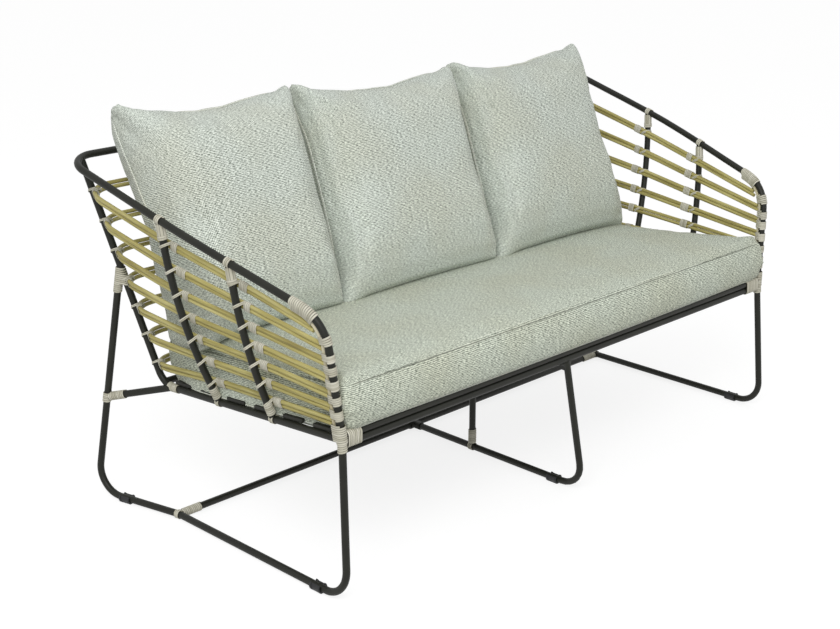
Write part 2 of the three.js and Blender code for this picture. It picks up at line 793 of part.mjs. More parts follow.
function addBindings() {
    const stations = bindingStations();
    console.log('least gap between turns of the binding', leastTurnGap(stations).toFixed(2));
    addPiece('upright_binding_left', strandGeometry(stations, -1), finishes.strand);
    addPiece('upright_binding_right', strandGeometry(stations, 1), finishes.strand);
}

// A unit box with its surface divided. A function places each vertex by its shares, from -1 to 1 each way.
function shapedBox(grid, shape) {
    const geometry = new THREE.BoxGeometry(1, 1, 1, ...grid);
    geometry.deleteAttribute('normal');
    geometry.deleteAttribute('uv');
    const merged = mergeVertices(geometry);
    const places = merged.attributes.position;
    for (let index = 0; index < places.count; index += 1) {
        const shares = new THREE.Vector3().fromBufferAttribute(places, index).multiplyScalar(2);
        const moved = shape(...shares.toArray());
        places.setXYZ(index, moved.x, moved.y, moved.z);
    }
    return merged;
}

function eased(share) {
    return Math.sin((share * Math.PI) / 2);
}

// Full over most of the width and steep near the edges, where a higher power is fuller still
function fullness(share, otherShare, power = crownPower) {
    return Math.sqrt((1 - Math.abs(share) ** power) * (1 - otherShare ** crownPower));
}

// Seat cushion: crowned top, sides drawn in between ears at the corners, flat underneath
function seatGeometry() {
    return shapedBox(seatGrid, (across, along, through) => {
        const u = eased(across);
        const v = eased(along);
        const top = (1 + through) / 2;
        const round = seatRound * (1 - Math.sqrt(1 - through ** 2));
        const halfWidth = seatHalfWidth - seatDraw * (1 - v * v) * top - seatTaper * (1 - top) - round;
        const halfLength = seatLength / 2 - seatDraw * (1 - u * u) * top - round;
        const ears = seatEar * u ** 4 * v ** 4;
        const lift = seatThickness + (seatCrown * fullness(u, v) + ears) * top;
        return point(u * halfWidth, v * halfLength + seatLength / 2, top * lift);
    });
}

function addSeat() {
    const seat = addPiece('seat_cushion', seatGeometry(), finishes.fabric);
    seat.position.set(0, -seatOverhang, 0);
    const lying = new THREE.Group();
    lying.position.z = shellHeight + (tubeRadius + slatThickness + clearance * 2) / Math.cos(seatSlope);
    lying.rotation.x = -seatSlope;
    lying.add(seat);
    sofa.add(lying);
    lying.updateMatrixWorld(true);
    return solidOf(seat.geometry.clone().applyMatrix4(seat.matrixWorld));
}

// Pillow: thin at its piped edge, full in the middle and towards its foot, its top edge dipped
// between the corners
function pillowGeometry({ foot, top, height, draw }) {
    return shapedBox(pillowGrid, (across, along, through) => {
        const u = eased(across);
        const v = eased(along);
        const rise = (1 + v) / 2;
        const run = (1 + u) / 2;
        const left = THREE.MathUtils.lerp(foot[0], top[0], rise) * seatHalfWidth;
        const right = THREE.MathUtils.lerp(foot[1], top[1], rise) * seatHalfWidth;
        const drawn = (u > 0 ? draw[1] : draw[0]) * pillowSize * (1 - v * v) * -u;
        const tall = THREE.MathUtils.lerp(height[0], height[1], run) * pillowSize;
        const dip = pillowDip * (1 - u * u) * rise;
        const footDip = pillowFootDip * (1 - u * u) * (1 - rise);
        const crown = through > 0 ? pillowFrontCrown : pillowBackCrown;
        const power = crownPower + sagPower * Math.max(0, -v);
        const depth = -through * (pillowBand / 2 + crown * fullness(u, v, power));
        return point(THREE.MathUtils.lerp(left, right, run) + drawn, depth, rise * tall - dip + footDip);
    });
}

// A pillow stands on the seat by its foot, and leans towards the back posts
function addPillows(seat) {
    const pressed = seat.translate(0, 0, clearance);
    const seatHeight = shellHeight + (tubeRadius + slatThickness + seatThickness) / Math.cos(seatSlope);
    const postDepth = pointWhere([backPostTop, backPostKnee], 'z', seatHeight).y;
    const reach = postDepth - pillowBackGap / Math.cos(backLean);
    const footHeight = seatHeight - reach * Math.tan(seatSlope) + pillowFootRise;
    Object.entries(pillowShares).forEach(([name, shares]) => {
        const geometry = pillowGeometry(shares);
        geometry.rotateX(-backLean - pillowSettleAngle);
        geometry.translate(0, reach, footHeight);
        addPiece(name, geometryOf(solidOf(geometry).subtract(pressed)), finishes.fabric);
    });
}

addRim();
addShellFrame();
addArmPosts();
addBackPosts();
addLegs();
addCentreFrame();
addTee();
addClips();
addSlats();
addCanes();
addFillers();
addBindings();
addPillows(addSeat());

// The origin is the middle of the part's box, on the floor
const bounds = new THREE.Box3().setFromObject(sofa);
const centre = bounds.getCenter(new THREE.Vector3());
const whole = new THREE.Group();
sofa.position.set(-centre.x, -centre.y, -bounds.min.z);
whole.add(sofa);
console.log('moved by', sofa.position.toArray().map((value) => value.toFixed(3)).join(' '));

export default whole;
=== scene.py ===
import math

import bmesh
import bpy
import numpy as np
from mathutils import Matrix, Vector


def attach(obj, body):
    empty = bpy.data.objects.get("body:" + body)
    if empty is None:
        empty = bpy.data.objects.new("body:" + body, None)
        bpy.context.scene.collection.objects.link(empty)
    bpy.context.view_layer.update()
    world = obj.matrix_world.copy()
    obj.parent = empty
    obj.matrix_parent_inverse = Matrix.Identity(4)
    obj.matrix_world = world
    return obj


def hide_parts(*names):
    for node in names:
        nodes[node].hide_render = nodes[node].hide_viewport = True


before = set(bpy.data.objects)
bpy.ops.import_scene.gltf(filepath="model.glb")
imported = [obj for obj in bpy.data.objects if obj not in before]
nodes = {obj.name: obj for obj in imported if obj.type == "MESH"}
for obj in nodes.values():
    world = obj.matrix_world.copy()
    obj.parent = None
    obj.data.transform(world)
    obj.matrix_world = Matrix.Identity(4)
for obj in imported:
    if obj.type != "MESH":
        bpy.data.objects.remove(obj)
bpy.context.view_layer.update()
rng = np.random.default_rng(33)
print("frame loaded,", len(nodes), "nodes")


# small tools

def fromHex(code):
    shares = [int(code[start:start + 2], 16) / 255 for start in (1, 3, 5)]
    return tuple(v / 12.92 if v <= 0.04045 else ((v + 0.055) / 1.055) ** 2.4 for v in shares) + (1.0,)


def addNode(tree, kind, settings=None, links=None):
    # "stops" are the places and colours of a colour ramp
    node = tree.nodes.new(kind)
    for name, value in (settings or {}).items():
        if name == "stops":
            steps = node.color_ramp.elements
            while len(steps) < len(value):
                steps.new(0.5)
            for step, (place, code) in zip(steps, value):
                step.position = place
                step.color = fromHex(code)
        elif isinstance(name, int) or name in node.inputs:
            node.inputs[name].default_value = value
        else:
            setattr(node, name, value)
    for name, socket in (links or {}).items():
        tree.links.new(socket, node.inputs[name])
    return node


def newMaterial(name, surface):
    material = bpy.data.materials.new(name)
    material.use_nodes = True
    tree = material.node_tree
    tree.nodes.clear()
    shader = addNode(tree, "ShaderNodeBsdfPrincipled", surface)
    addNode(tree, "ShaderNodeOutputMaterial", links={"Surface": shader.outputs[0]})
    return material, tree, shader


def giveRelief(tree, shader, colour, height, strength, distance):
    # the colour and the fine relief of a surface, the relief's depth in metres
    bump = addNode(tree, "ShaderNodeBump", {"Strength": strength, "Distance": distance}, {"Height": height})
    tree.links.new(colour, shader.inputs["Base Color"])
    tree.links.new(bump.outputs[0], shader.inputs["Normal"])


def grainOf(tree, streaks, patches):
    # fine streaks and broad patches along the grain, on a map in metres: the streaks, and the mean of both
    grain = addNode(tree, "ShaderNodeUVMap", {"uv_map": "grain"}).outputs[0]
    layers = []
    for scale, detail, roughness in (streaks, patches):
        laid = addNode(tree, "ShaderNodeMapping", {"Scale": scale}, {"Vector": grain})
        noise = addNode(tree, "ShaderNodeTexNoise", {"Scale": 1.0, "Detail": detail, "Roughness": roughness},
                        {"Vector": laid.outputs[0]})
        layers.append(noise.outputs[0])
    total = addNode(tree, "ShaderNodeMath", {"operation": "ADD"}, {0: layers[0], 1: layers[1]})
    mean = addNode(tree, "ShaderNodeMath", {"operation": "MULTIPLY", 1: 0.5}, {0: total.outputs[0]})
    return layers[0], mean.outputs[0]


def deselectAll():
    if bpy.context.object and bpy.context.object.mode != "OBJECT":
        bpy.ops.object.mode_set(mode="OBJECT")
    bpy.ops.object.select_all(action="DESELECT")


def selectOnly(piece):
    deselectAll()
    piece.select_set(True)
    bpy.context.view_layer.objects.active = piece


def applyModifier(piece, kind, settings):
    selectOnly(piece)
    modifier = piece.modifiers.new(kind.title(), kind)
    for name, value in settings.items():
        setattr(modifier, name, value)
    bpy.ops.object.modifier_apply(modifier=modifier.name)


def shadeSmooth(piece, degrees):
    selectOnly(piece)
    bpy.ops.object.shade_smooth_by_angle(angle=math.radians(degrees))


def giveMaterial(piece, material):
    piece.data.materials.clear()
    piece.data.materials.append(material)


def unit(vector):
    return vector / np.linalg.norm(vector)


# finishes

def powderCoatedSteel():
    # near-black grey-green powder coat on tube: satin, with a very fine orange peel
    material, tree, shader = newMaterial("powder_coated_steel", {
        "Roughness": 0.48, "Specular IOR Level": 0.28})
    place = addNode(tree, "ShaderNodeTexCoord").outputs["Object"]
    patches = addNode(tree, "ShaderNodeTexNoise", {"Scale": 22.0, "Detail": 3.0}, {"Vector": place})
    # grain of 1.1 mm
    peel = addNode(tree, "ShaderNodeTexNoise", {"Scale": 900.0, "Detail": 2.0}, {"Vector": place})
    colour = addNode(tree, "ShaderNodeValToRGB", {"stops": [(0.3, "#181913"), (0.7, "#20211a")]},
                     {0: patches.outputs[0]})
    giveRelief(tree, shader, colour.outputs[0], peel.outputs[0], 0.25, 0.0002)
    return material


def mouldedPlastic():
    # moulded polypropylene shoes: black, dull, with a fine spark-eroded grain
    material, tree, shader = newMaterial("moulded_polypropylene", {"Roughness": 0.55})
    place = addNode(tree, "ShaderNodeTexCoord").outputs["Object"]
    # grit of 0.7 mm
    grit = addNode(tree, "ShaderNodeTexNoise", {"Scale": 1400.0, "Detail": 2.0}, {"Vector": place})
    colour = addNode(tree, "ShaderNodeValToRGB", {"stops": [(0.35, "#0f1011"), (0.65, "#17181b")]},
                     {0: grit.outputs[0]})
    giveRelief(tree, shader, colour.outputs[0], grit.outputs[0], 0.3, 0.0001)
    return material


def peeledCane(name, light, middle, dark):
    # peeled rattan cane: fine streaks run along it, with a soft natural sheen
    material, tree, shader = newMaterial(name, {"Roughness": 0.48, "Specular IOR Level": 0.4})
    # streaks about 1 mm wide and 70 mm long, over patches of 17 by 200 mm
    streaks, mean = grainOf(tree, ((900.0, 14.0, 1.0), 4.0, 0.6), ((60.0, 5.0, 1.0), 2.0, 0.5))
    colour = addNode(tree, "ShaderNodeValToRGB", {"stops": [(0.36, dark), (0.5, middle), (0.64, light)]},
                     {0: mean})
    giveRelief(tree, shader, colour.outputs[0], streaks, 0.35, 0.0003)
    return material


def flatReed():
    # flat binding reed: pale cream-grey strip with fine lengthwise lines, dry and matt
    material, tree, shader = newMaterial("flat_binding_reed", {"Roughness": 0.6, "Specular IOR Level": 0.35})
    # lines about 0.7 mm wide and 40 mm long, over patches of 33 by 125 mm
    lines, mean = grainOf(tree, ((1400.0, 25.0, 1.0), 3.0, 0.5), ((30.0, 8.0, 1.0), 1.0, 0.5))
    colour = addNode(tree, "ShaderNodeValToRGB",
                     {"stops": [(0.36, "#a9a592"), (0.5, "#c5c2b1"), (0.64, "#d8d5c7")]}, {0: mean})
    # painted shade: the strip darkens towards its cut edges, where shade falls between the turns, so the
    # turns read as separate strands
    edge = addNode(tree, "ShaderNodeAttribute", {"attribute_name": "edge"})
    grooveShade = addNode(tree, "ShaderNodeMapRange", {"From Min": 0.35, "From Max": 0.85, "To Max": 0.8},
                    {0: edge.outputs["Fac"]})
    grooveShaded = addNode(tree, "ShaderNodeMix",
                     {"data_type": "RGBA", "blend_type": "MULTIPLY", 7: fromHex("#6f6a58")},
                     {0: grooveShade.outputs[0], 6: colour.outputs[0]})
    giveRelief(tree, shader, grooveShaded.outputs[2], lines, 0.4, 0.0002)
    return material


def wovenTweed(name, light, middle, fleck):
    # woven olefin tweed: pale yarn crossed by darker flecks that line up on the diagonal
    material, tree, shader = newMaterial(name, {
        "Roughness": 0.92, "Specular IOR Level": 0.2, "Sheen Weight": 0.12, "Sheen Roughness": 0.5})
    place = addNode(tree, "ShaderNodeUVMap", {"uv_map": "weave"}).outputs[0]
    # the threads wander by up to a millimetre
    wander = addNode(tree, "ShaderNodeTexNoise", {"Scale": 130.0, "Detail": 2.0}, {"Vector": place})
    bent = addNode(tree, "ShaderNodeVectorMath", {"operation": "MULTIPLY_ADD", 1: (0.0016, 0.0016, 0.0)},
                   {0: wander.outputs["Color"], 2: place})
    turned = addNode(tree, "ShaderNodeMapping", {"Rotation": (0.0, 0.0, math.radians(45))},
                     {"Vector": bent.outputs[0]})
    # threads cross every 5 mm on the diagonal, coarser than real ones so that they show
    scaled = addNode(tree, "ShaderNodeVectorMath", {"operation": "SCALE", "Scale": 2 * math.pi / 0.005},
                     {0: turned.outputs[0]})
    ways = addNode(tree, "ShaderNodeSeparateXYZ", links={0: scaled.outputs[0]})
    waves = [addNode(tree, "ShaderNodeMath", {"operation": "SINE"}, {0: ways.outputs[way]}) for way in (0, 1)]
    cross = addNode(tree, "ShaderNodeMath", {"operation": "MULTIPLY"},
                    {0: waves[0].outputs[0], 1: waves[1].outputs[0]})
    # slubs in the yarn, about 8 mm long and 1.4 mm thick, break the pattern up
    slubs = addNode(tree, "ShaderNodeMapping", {"Scale": (130.0, 720.0, 1.0)}, {"Vector": place})
    yarn = addNode(tree, "ShaderNodeTexNoise", {"Scale": 1.0, "Detail": 4.0, "Roughness": 0.6},
                   {"Vector": slubs.outputs[0]})
    spread = addNode(tree, "ShaderNodeMath", {"operation": "MULTIPLY_ADD", 1: 2.2, 2: -0.58},
                     {0: yarn.outputs[0]})
    level = addNode(tree, "ShaderNodeMath", {"operation": "MULTIPLY", 1: 0.42}, {0: cross.outputs[0]})
    height = addNode(tree, "ShaderNodeMath", {"operation": "ADD"},
                     {0: level.outputs[0], 1: spread.outputs[0]})
    threads = addNode(tree, "ShaderNodeValToRGB", {"stops": [(0.25, fleck), (0.5, middle), (0.73, light)]},
                      {0: height.outputs[0]})
    # warmer patches, about 200 mm across
    tint = addNode(tree, "ShaderNodeTexNoise", {"Scale": 5.0, "Detail": 1.0}, {"Vector": place})
    share = addNode(tree, "ShaderNodeMapRange", {"From Min": 0.4, "From Max": 0.65, "To Max": 0.35},
                    {0: tint.outputs[0]})
    tinted = addNode(tree, "ShaderNodeMix",
                     {"data_type": "RGBA", "blend_type": "MULTIPLY", 7: fromHex("#f3ebdd")},
                     {0: share.outputs[0], 6: threads.outputs[0]})
    giveRelief(tree, shader, tinted.outputs[2], height.outputs[0], 0.5, 0.0006)
    return material


steel = powderCoatedSteel()
cane = peeledCane("peeled_rattan_cane", "#c7bf84", "#aaa05f", "#7c7140")
paleCane = peeledCane("pale_filler_cane", "#dad4bd", "#cbc4a8", "#b3a987")
reed = flatReed()
plastic = mouldedPlastic()
tweed = wovenTweed("woven_tweed", "#f7fdf4", "#c8d1c6", "#3f473e")
# the seat's tweed is a darker copy of the pillows': painted shade over the seat. The piping is pressed flat,
# and the seam is a dark copy: painted shade in the sewn groove
shadedSeatTweed = wovenTweed("woven_tweed_seat_shaded", "#f0f6e7", "#bcc5b4", "#424a40")
pipingTweed = wovenTweed("woven_tweed_piping", "#eff2ea", "#cfd4c9", "#858b80")
# painted shade: the seam's tweed is dark, for the shade in the sewn groove along the seat's top
seamShadeTweed = wovenTweed("woven_tweed_seam", "#a3a89c", "#868c80", "#4f544c")
print("finishes made")


# sweeps along routes

grainShift = 3  # metres, so that no two strips show the same stretch of grain


def smoothRoute(points, steps=4, longer=2.5, straight=0.999995):
    # bends get finer steps; a bend starts and ends along the straight run beside it
    points = np.array(points, float)
    spans = np.diff(points, axis=0)
    lengths = np.linalg.norm(spans, axis=1)
    headings = spans / lengths[:, None]
    tangents = [headings[0]]
    for index in range(1, len(points) - 1):
        before, after = lengths[index - 1], lengths[index]
        if before > longer * after:
            tangents.append(headings[index - 1])
        elif after > longer * before:
            tangents.append(headings[index])
        else:
            tangents.append(unit(headings[index - 1] + headings[index]))
    tangents.append(headings[-1])
    smooth = []
    for index, length in enumerate(lengths):
        turn = min(headings[index] @ tangents[index], headings[index] @ tangents[index + 1])
        count = 1 if turn > straight else steps
        for step in range(count):
            t = step / count
            smooth.append((2 * t ** 3 - 3 * t ** 2 + 1) * points[index]
                          + (t ** 3 - 2 * t ** 2 + t) * length * tangents[index]
                          + (3 * t ** 2 - 2 * t ** 3) * points[index + 1]
                          + (t ** 3 - t ** 2) * length * tangents[index + 1])
    return np.array(smooth + [points[-1]])


def lengthsOf(route):
    return np.concatenate([[0.0], np.cumsum(np.linalg.norm(np.diff(route, axis=0), axis=1))])


def tangentsOf(route):
    spans = np.diff(route, axis=0)
    spans = spans / np.linalg.norm(spans, axis=1)[:, None]
    joined = np.vstack([spans[:1], spans[:-1] + spans[1:], spans[-1:]])
    return joined / np.linalg.norm(joined, axis=1)[:, None]


def alongRoute(route, distance):
    lengths = lengthsOf(route)
    index = int(np.clip(np.searchsorted(lengths, distance, side="right") - 1, 0, len(route) - 2))
    share = (distance - lengths[index]) / (lengths[index + 1] - lengths[index])
    tangents = tangentsOf(route)
    blend = np.clip(share, 0, 1)
    tangent = unit(tangents[index] * (1 - blend) + tangents[index + 1] * blend)
    return route[index] + (route[index + 1] - route[index]) * share, tangent


def mirrored(route):
    return np.array(route) * np.array([-1, 1, 1])


def acrossOf(tangent):
    seed = np.array([0.0, 0.0, 1.0]) if abs(tangent[2]) < 0.8 else np.array([1.0, 0.0, 0.0])
    return unit(seed - tangent * (seed @ tangent))


def carriedNormals(route):
    # one normal carried along the route without twist
    tangents = tangentsOf(route)
    seed = acrossOf(tangents[0])
    normals = []
    for tangent in tangents:
        seed = unit(seed - tangent * (seed @ tangent))
        normals.append(seed)
    return np.array(normals)


def ovalSection(width, thickness, sides):
    angles = (np.arange(sides) + 0.5) / sides * 2 * math.pi
    return np.column_stack([width / 2 * np.cos(angles), thickness / 2 * np.sin(angles)])


class Sweeps:
    # gathers swept strips and tubes, to be made one piece

    def __init__(self):
        self.places, self.faces, self.grain, self.edges = [], [], [], []
        self.count = 0

    def add(self, route, normals, section):
        tangents = tangentsOf(route)
        across = np.cross(tangents, normals)
        across /= np.linalg.norm(across, axis=1)[:, None]
        outward = np.cross(across, tangents)
        rings, sides = len(route), len(section)
        places = (route[:, None] + across[:, None] * section[None, :, :1]
                  + outward[:, None] * section[None, :, 1:])
        around = np.concatenate([[0.0], np.cumsum(np.linalg.norm(
            np.roll(section, -1, axis=0) - section, axis=1))]) + rng.random() * grainShift
        along = lengthsOf(route) + rng.random() * grainShift
        first = self.count
        self.places.append(places.reshape(-1, 3))
        self.edges.append(np.tile(1 - np.clip(section[:, 1] / section[:, 1].max(), 0, 1), rings))
        self.count += rings * sides
        for ring in range(rings - 1):
            for side in range(sides):
                here = first + ring * sides + side
                beside = first + ring * sides + (side + 1) % sides
                self.faces.append((here, here + sides, beside + sides, beside))
                u0, u1 = around[side], around[side + 1]
                v0, v1 = along[ring], along[ring + 1]
                self.grain += [(u0, v0), (u0, v1), (u1, v1), (u1, v0)]
        for cap in (list(range(first, first + sides)),
                    list(range(first + rings * sides - 1, first + (rings - 1) * sides - 1, -1))):
            self.faces.append(tuple(cap))
            self.grain += [(around[0], along[0])] * sides

    def addTube(self, route, radius, sides=20):
        self.add(route, carriedNormals(route), ovalSection(radius * 2, radius * 2, sides))

    def piece(self, name, material, slot, body="frame", replaced=(), angle=60):
        mesh = bpy.data.meshes.new(name)
        mesh.from_pydata(np.vstack(self.places).tolist(), [], self.faces)
        layer = mesh.uv_layers.new(name="grain")
        layer.data.foreach_set("uv", np.array(self.grain, np.float32).ravel())
        edge = mesh.attributes.new("edge", "FLOAT", "POINT")
        edge.data.foreach_set("value", np.concatenate(self.edges))
        mesh.materials.append(material)
        piece = bpy.data.objects.new(name, mesh)
        bpy.context.scene.collection.objects.link(piece)
        shadeSmooth(piece, angle)
        dress(piece, body, replaced)
        return piece


def dress(piece, body, replaced):
    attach(piece, body)
    if replaced:
        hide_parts(*replaced)


def distanceAt(route, way, value):
    # distance along a route where one coordinate first reaches a value
    lengths = lengthsOf(route)
    ahead = route[:, way] - value
    index = int(np.nonzero(ahead[:-1] * ahead[1:] <= 0)[0][0])
    share = ahead[index] / (ahead[index] - ahead[index + 1])
    return lengths[index] + (lengths[index + 1] - lengths[index]) * share


def placeAt(route, way, value):
    return alongRoute(route, distanceAt(route, way, value))[0]


def bentRoute(corners, radii, stepAngle=math.radians(15), least=0.0003):
    # straight runs joined by round bends; a bend without a radius bows as far as its runs allow
    corners = np.array(corners, float)
    spans = np.diff(corners, axis=0)
    lengths = np.linalg.norm(spans, axis=1)
    ways = spans / lengths[:, None]
    angles = [math.acos(ways[index] @ ways[index + 1]) for index in range(len(radii))]
    reaches = [(radius or 0) * math.tan(angle / 2) for radius, angle in zip(radii, angles)]
    for index, radius in enumerate(radii):
        if radius is None:
            reaches[index] = min(lengths[index] - reaches[index - 1],
                                 lengths[index + 1] - reaches[index + 1])
    stations = [corners[0]]
    for corner, arriving, leaving, angle, reach in zip(corners[1:], ways, ways[1:], angles, reaches):
        centre = corner + unit(leaving - arriving) * reach / math.sin(angle / 2)
        start, end = corner - arriving * reach - centre, corner + leaving * reach - centre
        steps = max(2, math.ceil(angle / stepAngle))
        for step in range(steps + 1):
            before, after = angle * (1 - step / steps), angle * step / steps
            station = centre + (start * math.sin(before) + end * math.sin(after)) / math.sin(angle)
            if np.linalg.norm(station - stations[-1]) > least:
                stations.append(station)
    return np.array(stations + [corners[-1]])


# frame tubes in metres, bent as the CAD tubes are, with depths counted back from the front rails.
# The right side is bent first and mirrored for the left.

def mergedPlaces(nodeName):
    shell = bmesh.new()
    shell.from_mesh(nodes[nodeName].data)
    bmesh.ops.remove_doubles(shell, verts=shell.verts, dist=0.00001)
    places = np.array([vert.co[:] for vert in shell.verts])
    shell.free()
    return places


railDepths = mergedPlaces("front_rail_lower")[:, 1]
frontDepth = (railDepths.min() + railDepths.max()) / 2


def inFrame(route):
    # a route from the front rails to its place in the frame, to a tenth of a millimetre
    return np.round(np.array(route, float) + (0, frontDepth, 0), 4)


tubeRadius = 0.008
rimSize = {
    "foot": (0.729, 0, 0.34814), "armFront": (0.756, 0.013, 0.598), "armBow": (0.829, 0.3805, 0.714),
    "backCorner": (0.838, 0.748, 0.807), "frontBend": 0.09, "backBend": 0.066,
}
# a side rail that turns up into the back corner post, and how far out that post meets the rim
hoopSize = {"corner": (0.712, 0.612, 0.29214), "bend": 0.04, "topOut": 0.8056}
legSize = {
    "head": (0.729, 0, 0.348), "toe": (0.744, -0.024, 0.0108), "kink": (0.746, 0.534, 0.0108),
    "heel": (0.801, 0.774, 0.0108), "bend": 0.06, "topHeight": 0.568, "connectorHeight": 0.25,
}
# how far back each arm post meets the rim and the side rail, and how far it bows
armPostSize = {
    "arm_post_front": {"top": 0.249, "foot": 0.215, "bow": 0.01},
    "arm_post_rear": {"top": 0.44, "foot": 0.402, "bow": 0.01},
}
# the back posts lean straight down to a knee, then turn in to the seat's back rail
backPostSize = {"count": 4, "kneeBack": 0.637, "kneeHeight": 0.31789, "bend": 0.028}
railHeights = {"front_rail_upper": 0.3563, "front_rail_lower": 0.34}
# the centre strut, and where the centre runner that it stands on starts and ends
strutSize = {"back": 0.329, "foot": 0.0108, "top": 0.318, "runnerStart": 0.0417, "runnerEnd": 0.5257}

rimStations = bentRoute(
    [rimSize["foot"], rimSize["armFront"], rimSize["armBow"], rimSize["backCorner"],
     np.array(rimSize["backCorner"]) * (0, 1, 1)],
    [rimSize["frontBend"], None, rimSize["backBend"]])
sideRail = np.array([rimSize["foot"], hoopSize["corner"]])
hoopStations = bentRoute([*sideRail, placeAt(rimStations[::-1], 0, hoopSize["topOut"])], [hoopSize["bend"]])
# the seat's back rail meets the hoops in the middle of their bends
hoopMiddle = hoopStations[4]
legTop = placeAt(hoopStations, 2, legSize["topHeight"])
legStations = bentRoute([legSize["head"], legSize["toe"], legSize["kink"], legSize["heel"], legTop],
                        [legSize["bend"]] * 3)
rearLegLine = np.array([legSize["heel"], legTop])


def armPost(size, steps=5):
    # stands upright at the rim and curves in to the side rail
    foot, top = placeAt(sideRail, 1, size["foot"]), placeAt(rimStations, 1, size["top"])
    belly = np.array([top[0] - size["bow"], *(foot + top)[1:] / 2])
    shares = np.linspace(0, 1, steps + 1)[:, None]
    return (1 - shares) ** 2 * foot + 2 * shares * (1 - shares) * belly + shares ** 2 * top


def backPost(x):
    corners = np.array([rimSize["backCorner"], (x, backPostSize["kneeBack"], backPostSize["kneeHeight"]),
                        hoopMiddle])
    corners[:, 0] = x
    return bentRoute(corners, [backPostSize["bend"]])


def acrossTo(place):
    return np.array([mirrored(place), place])


right = {
    "rim": smoothRoute(inFrame(rimStations)),
    "side_hoop": smoothRoute(inFrame(hoopStations)),
    "leg_loop": smoothRoute(inFrame(legStations)),
    "connector": inFrame([placeAt(rearLegLine, 2, legSize["connectorHeight"]), hoopStations[1]]),
    **{name: smoothRoute(inFrame(armPost(size))) for name, size in armPostSize.items()},
}
left = {name: mirrored(route) for name, route in right.items()}
routes = {"left": left, "right": right}
singleTubes = {
    **{name: acrossTo((*rimSize["foot"][:2], height)) for name, height in railHeights.items()},
    "seat_back_rail": acrossTo(hoopMiddle),
    "stretcher": acrossTo(legSize["kink"]),
    "centre_strut": [(0, strutSize["back"], strutSize[end]) for end in ("foot", "top")],
    "centre_bearer": sideRail * (0, 1, 1),
}
singleTubes = {name: inFrame(route) for name, route in singleTubes.items()}


def makeTube(name, route):
    tube = Sweeps()
    tube.addTube(route, tubeRadius)
    tube.piece(f"{name}_coated", steel, "steel", replaced=[name])


wholeRim = np.vstack([right["rim"][:-1], mirrored(right["rim"])[::-1]])
makeTube("rim_tube", wholeRim)
for side, own in routes.items():
    for name in ("side_hoop", "leg_loop", "connector", "arm_post_front", "arm_post_rear"):
        makeTube(f"{name}_{side}", own[name])
backPosts = []
for index in range(backPostSize["count"]):
    share = (index + 1) / (backPostSize["count"] + 1)
    backPosts.append(smoothRoute(inFrame(backPost((share * 2 - 1) * rimSize["foot"][0]))))
    makeTube(f"back_post_{index + 1}", backPosts[-1])
for name, route in singleTubes.items():
    makeTube(name, route)


def copyOf(nodeName, suffix):
    # the CAD node's own shape, merged, and left in edit mode with all of it selected
    piece = bpy.data.objects.new(f"{nodeName}_{suffix}", nodes[nodeName].data.copy())
    bpy.context.scene.collection.objects.link(piece)
    selectOnly(piece)
    bpy.ops.object.mode_set(mode="EDIT")
    bpy.ops.mesh.select_all(action="SELECT")
    bpy.ops.mesh.remove_doubles(threshold=0.00001)
    return piece


def finishedCopy(nodeName, suffix, material, degrees=42, bevel=0.0):
    piece = copyOf(nodeName, suffix)
    bpy.ops.mesh.dissolve_limited(angle_limit=math.radians(1))
    bpy.ops.object.mode_set(mode="OBJECT")
    giveMaterial(piece, material)
    if bevel:
        applyModifier(piece, "BEVEL", {"width": bevel, "segments": 2, "limit_method": "ANGLE",
                                       "angle_limit": math.radians(35)})
    shadeSmooth(piece, degrees)
    dress(piece, "frame", [nodeName])


for nodeName in ("centre_leg", "stretcher_tee"):
    finishedCopy(nodeName, "coated", steel)
for nodeName in sorted(name for name in nodes if name.startswith("foot_clip")):
    finishedCopy(nodeName, "moulded", plastic, degrees=35, bevel=0.0004)
for nodeName in sorted(name for name in nodes if name.startswith("seat_slat")):
    finishedCopy(nodeName, "coated", steel, degrees=35, bevel=0.0015)
print("frame dressed")


# canes, on the centre lines of the CAD canes

rowCount = 7
caneRadius = 0.0045
# the ends of a row run on under the reed of the uprights, the lowest row's less far
rowLook = {"ringSize": 6, "ease": 0.014, "step": 0.006, "grow": 0.0001, "reach": 0.009, "lowestReach": 0.003}


def centreLine(nodeName, ringSize):
    # walks from the ring at the left end, each time to the nearest ring that is left
    rest = mergedPlaces(nodeName)
    leftHalf = np.where(rest[:, 0] < 0, rest[:, 1], np.inf)
    here = rest[np.argmin(leftHalf)]
    line = []
    while len(rest) >= ringSize:
        order = np.argsort(np.linalg.norm(rest - here, axis=1))
        here = rest[order[:ringSize]].mean(axis=0)
        line.append(here)
        rest = rest[order[ringSize:]]
    return np.array(line)


def extended(route, reach):
    route = route.copy()
    route[0] += unit(route[0] - route[1]) * reach
    route[-1] += unit(route[-1] - route[-2]) * reach
    return route


def softened(route, count, step, spread):
    # canes bend gently, so their corners are eased over a few centimetres
    lengths = lengthsOf(route)
    marks = np.linspace(0, lengths[-1], count)
    even = np.column_stack([np.interp(marks, lengths, route[:, way]) for way in range(3)])
    reach = int(3 * spread / step)
    weights = np.exp(-0.5 * (np.arange(-reach, reach + 1) * step / spread) ** 2)
    weights /= weights.sum()
    before = even[0] + (even[0] - even[1]) * np.arange(reach, 0, -1)[:, None]
    after = even[-1] + (even[-1] - even[-2]) * np.arange(1, reach + 1)[:, None]
    padded = np.vstack([before, even, after])
    return np.column_stack([np.convolve(padded[:, way], weights, mode="valid") for way in range(3)])


def softenedPair(pair, look, straightSteps=6, leastTurn=0.012):
    # both canes of a row keep the same stations, few on the straight runs
    count = int(lengthsOf(pair[0])[-1] / look["step"])
    pair = [softened(route, count, look["step"], look["ease"]) for route in pair]
    turns = np.linalg.norm(np.diff(tangentsOf(pair[0] + pair[1]), axis=0), axis=1)
    kept = [index for index in range(count) if index % straightSteps == 0 or index == count - 1
            or turns[min(index, count - 2)] > leastTurn]
    return [route[kept] for route in pair]


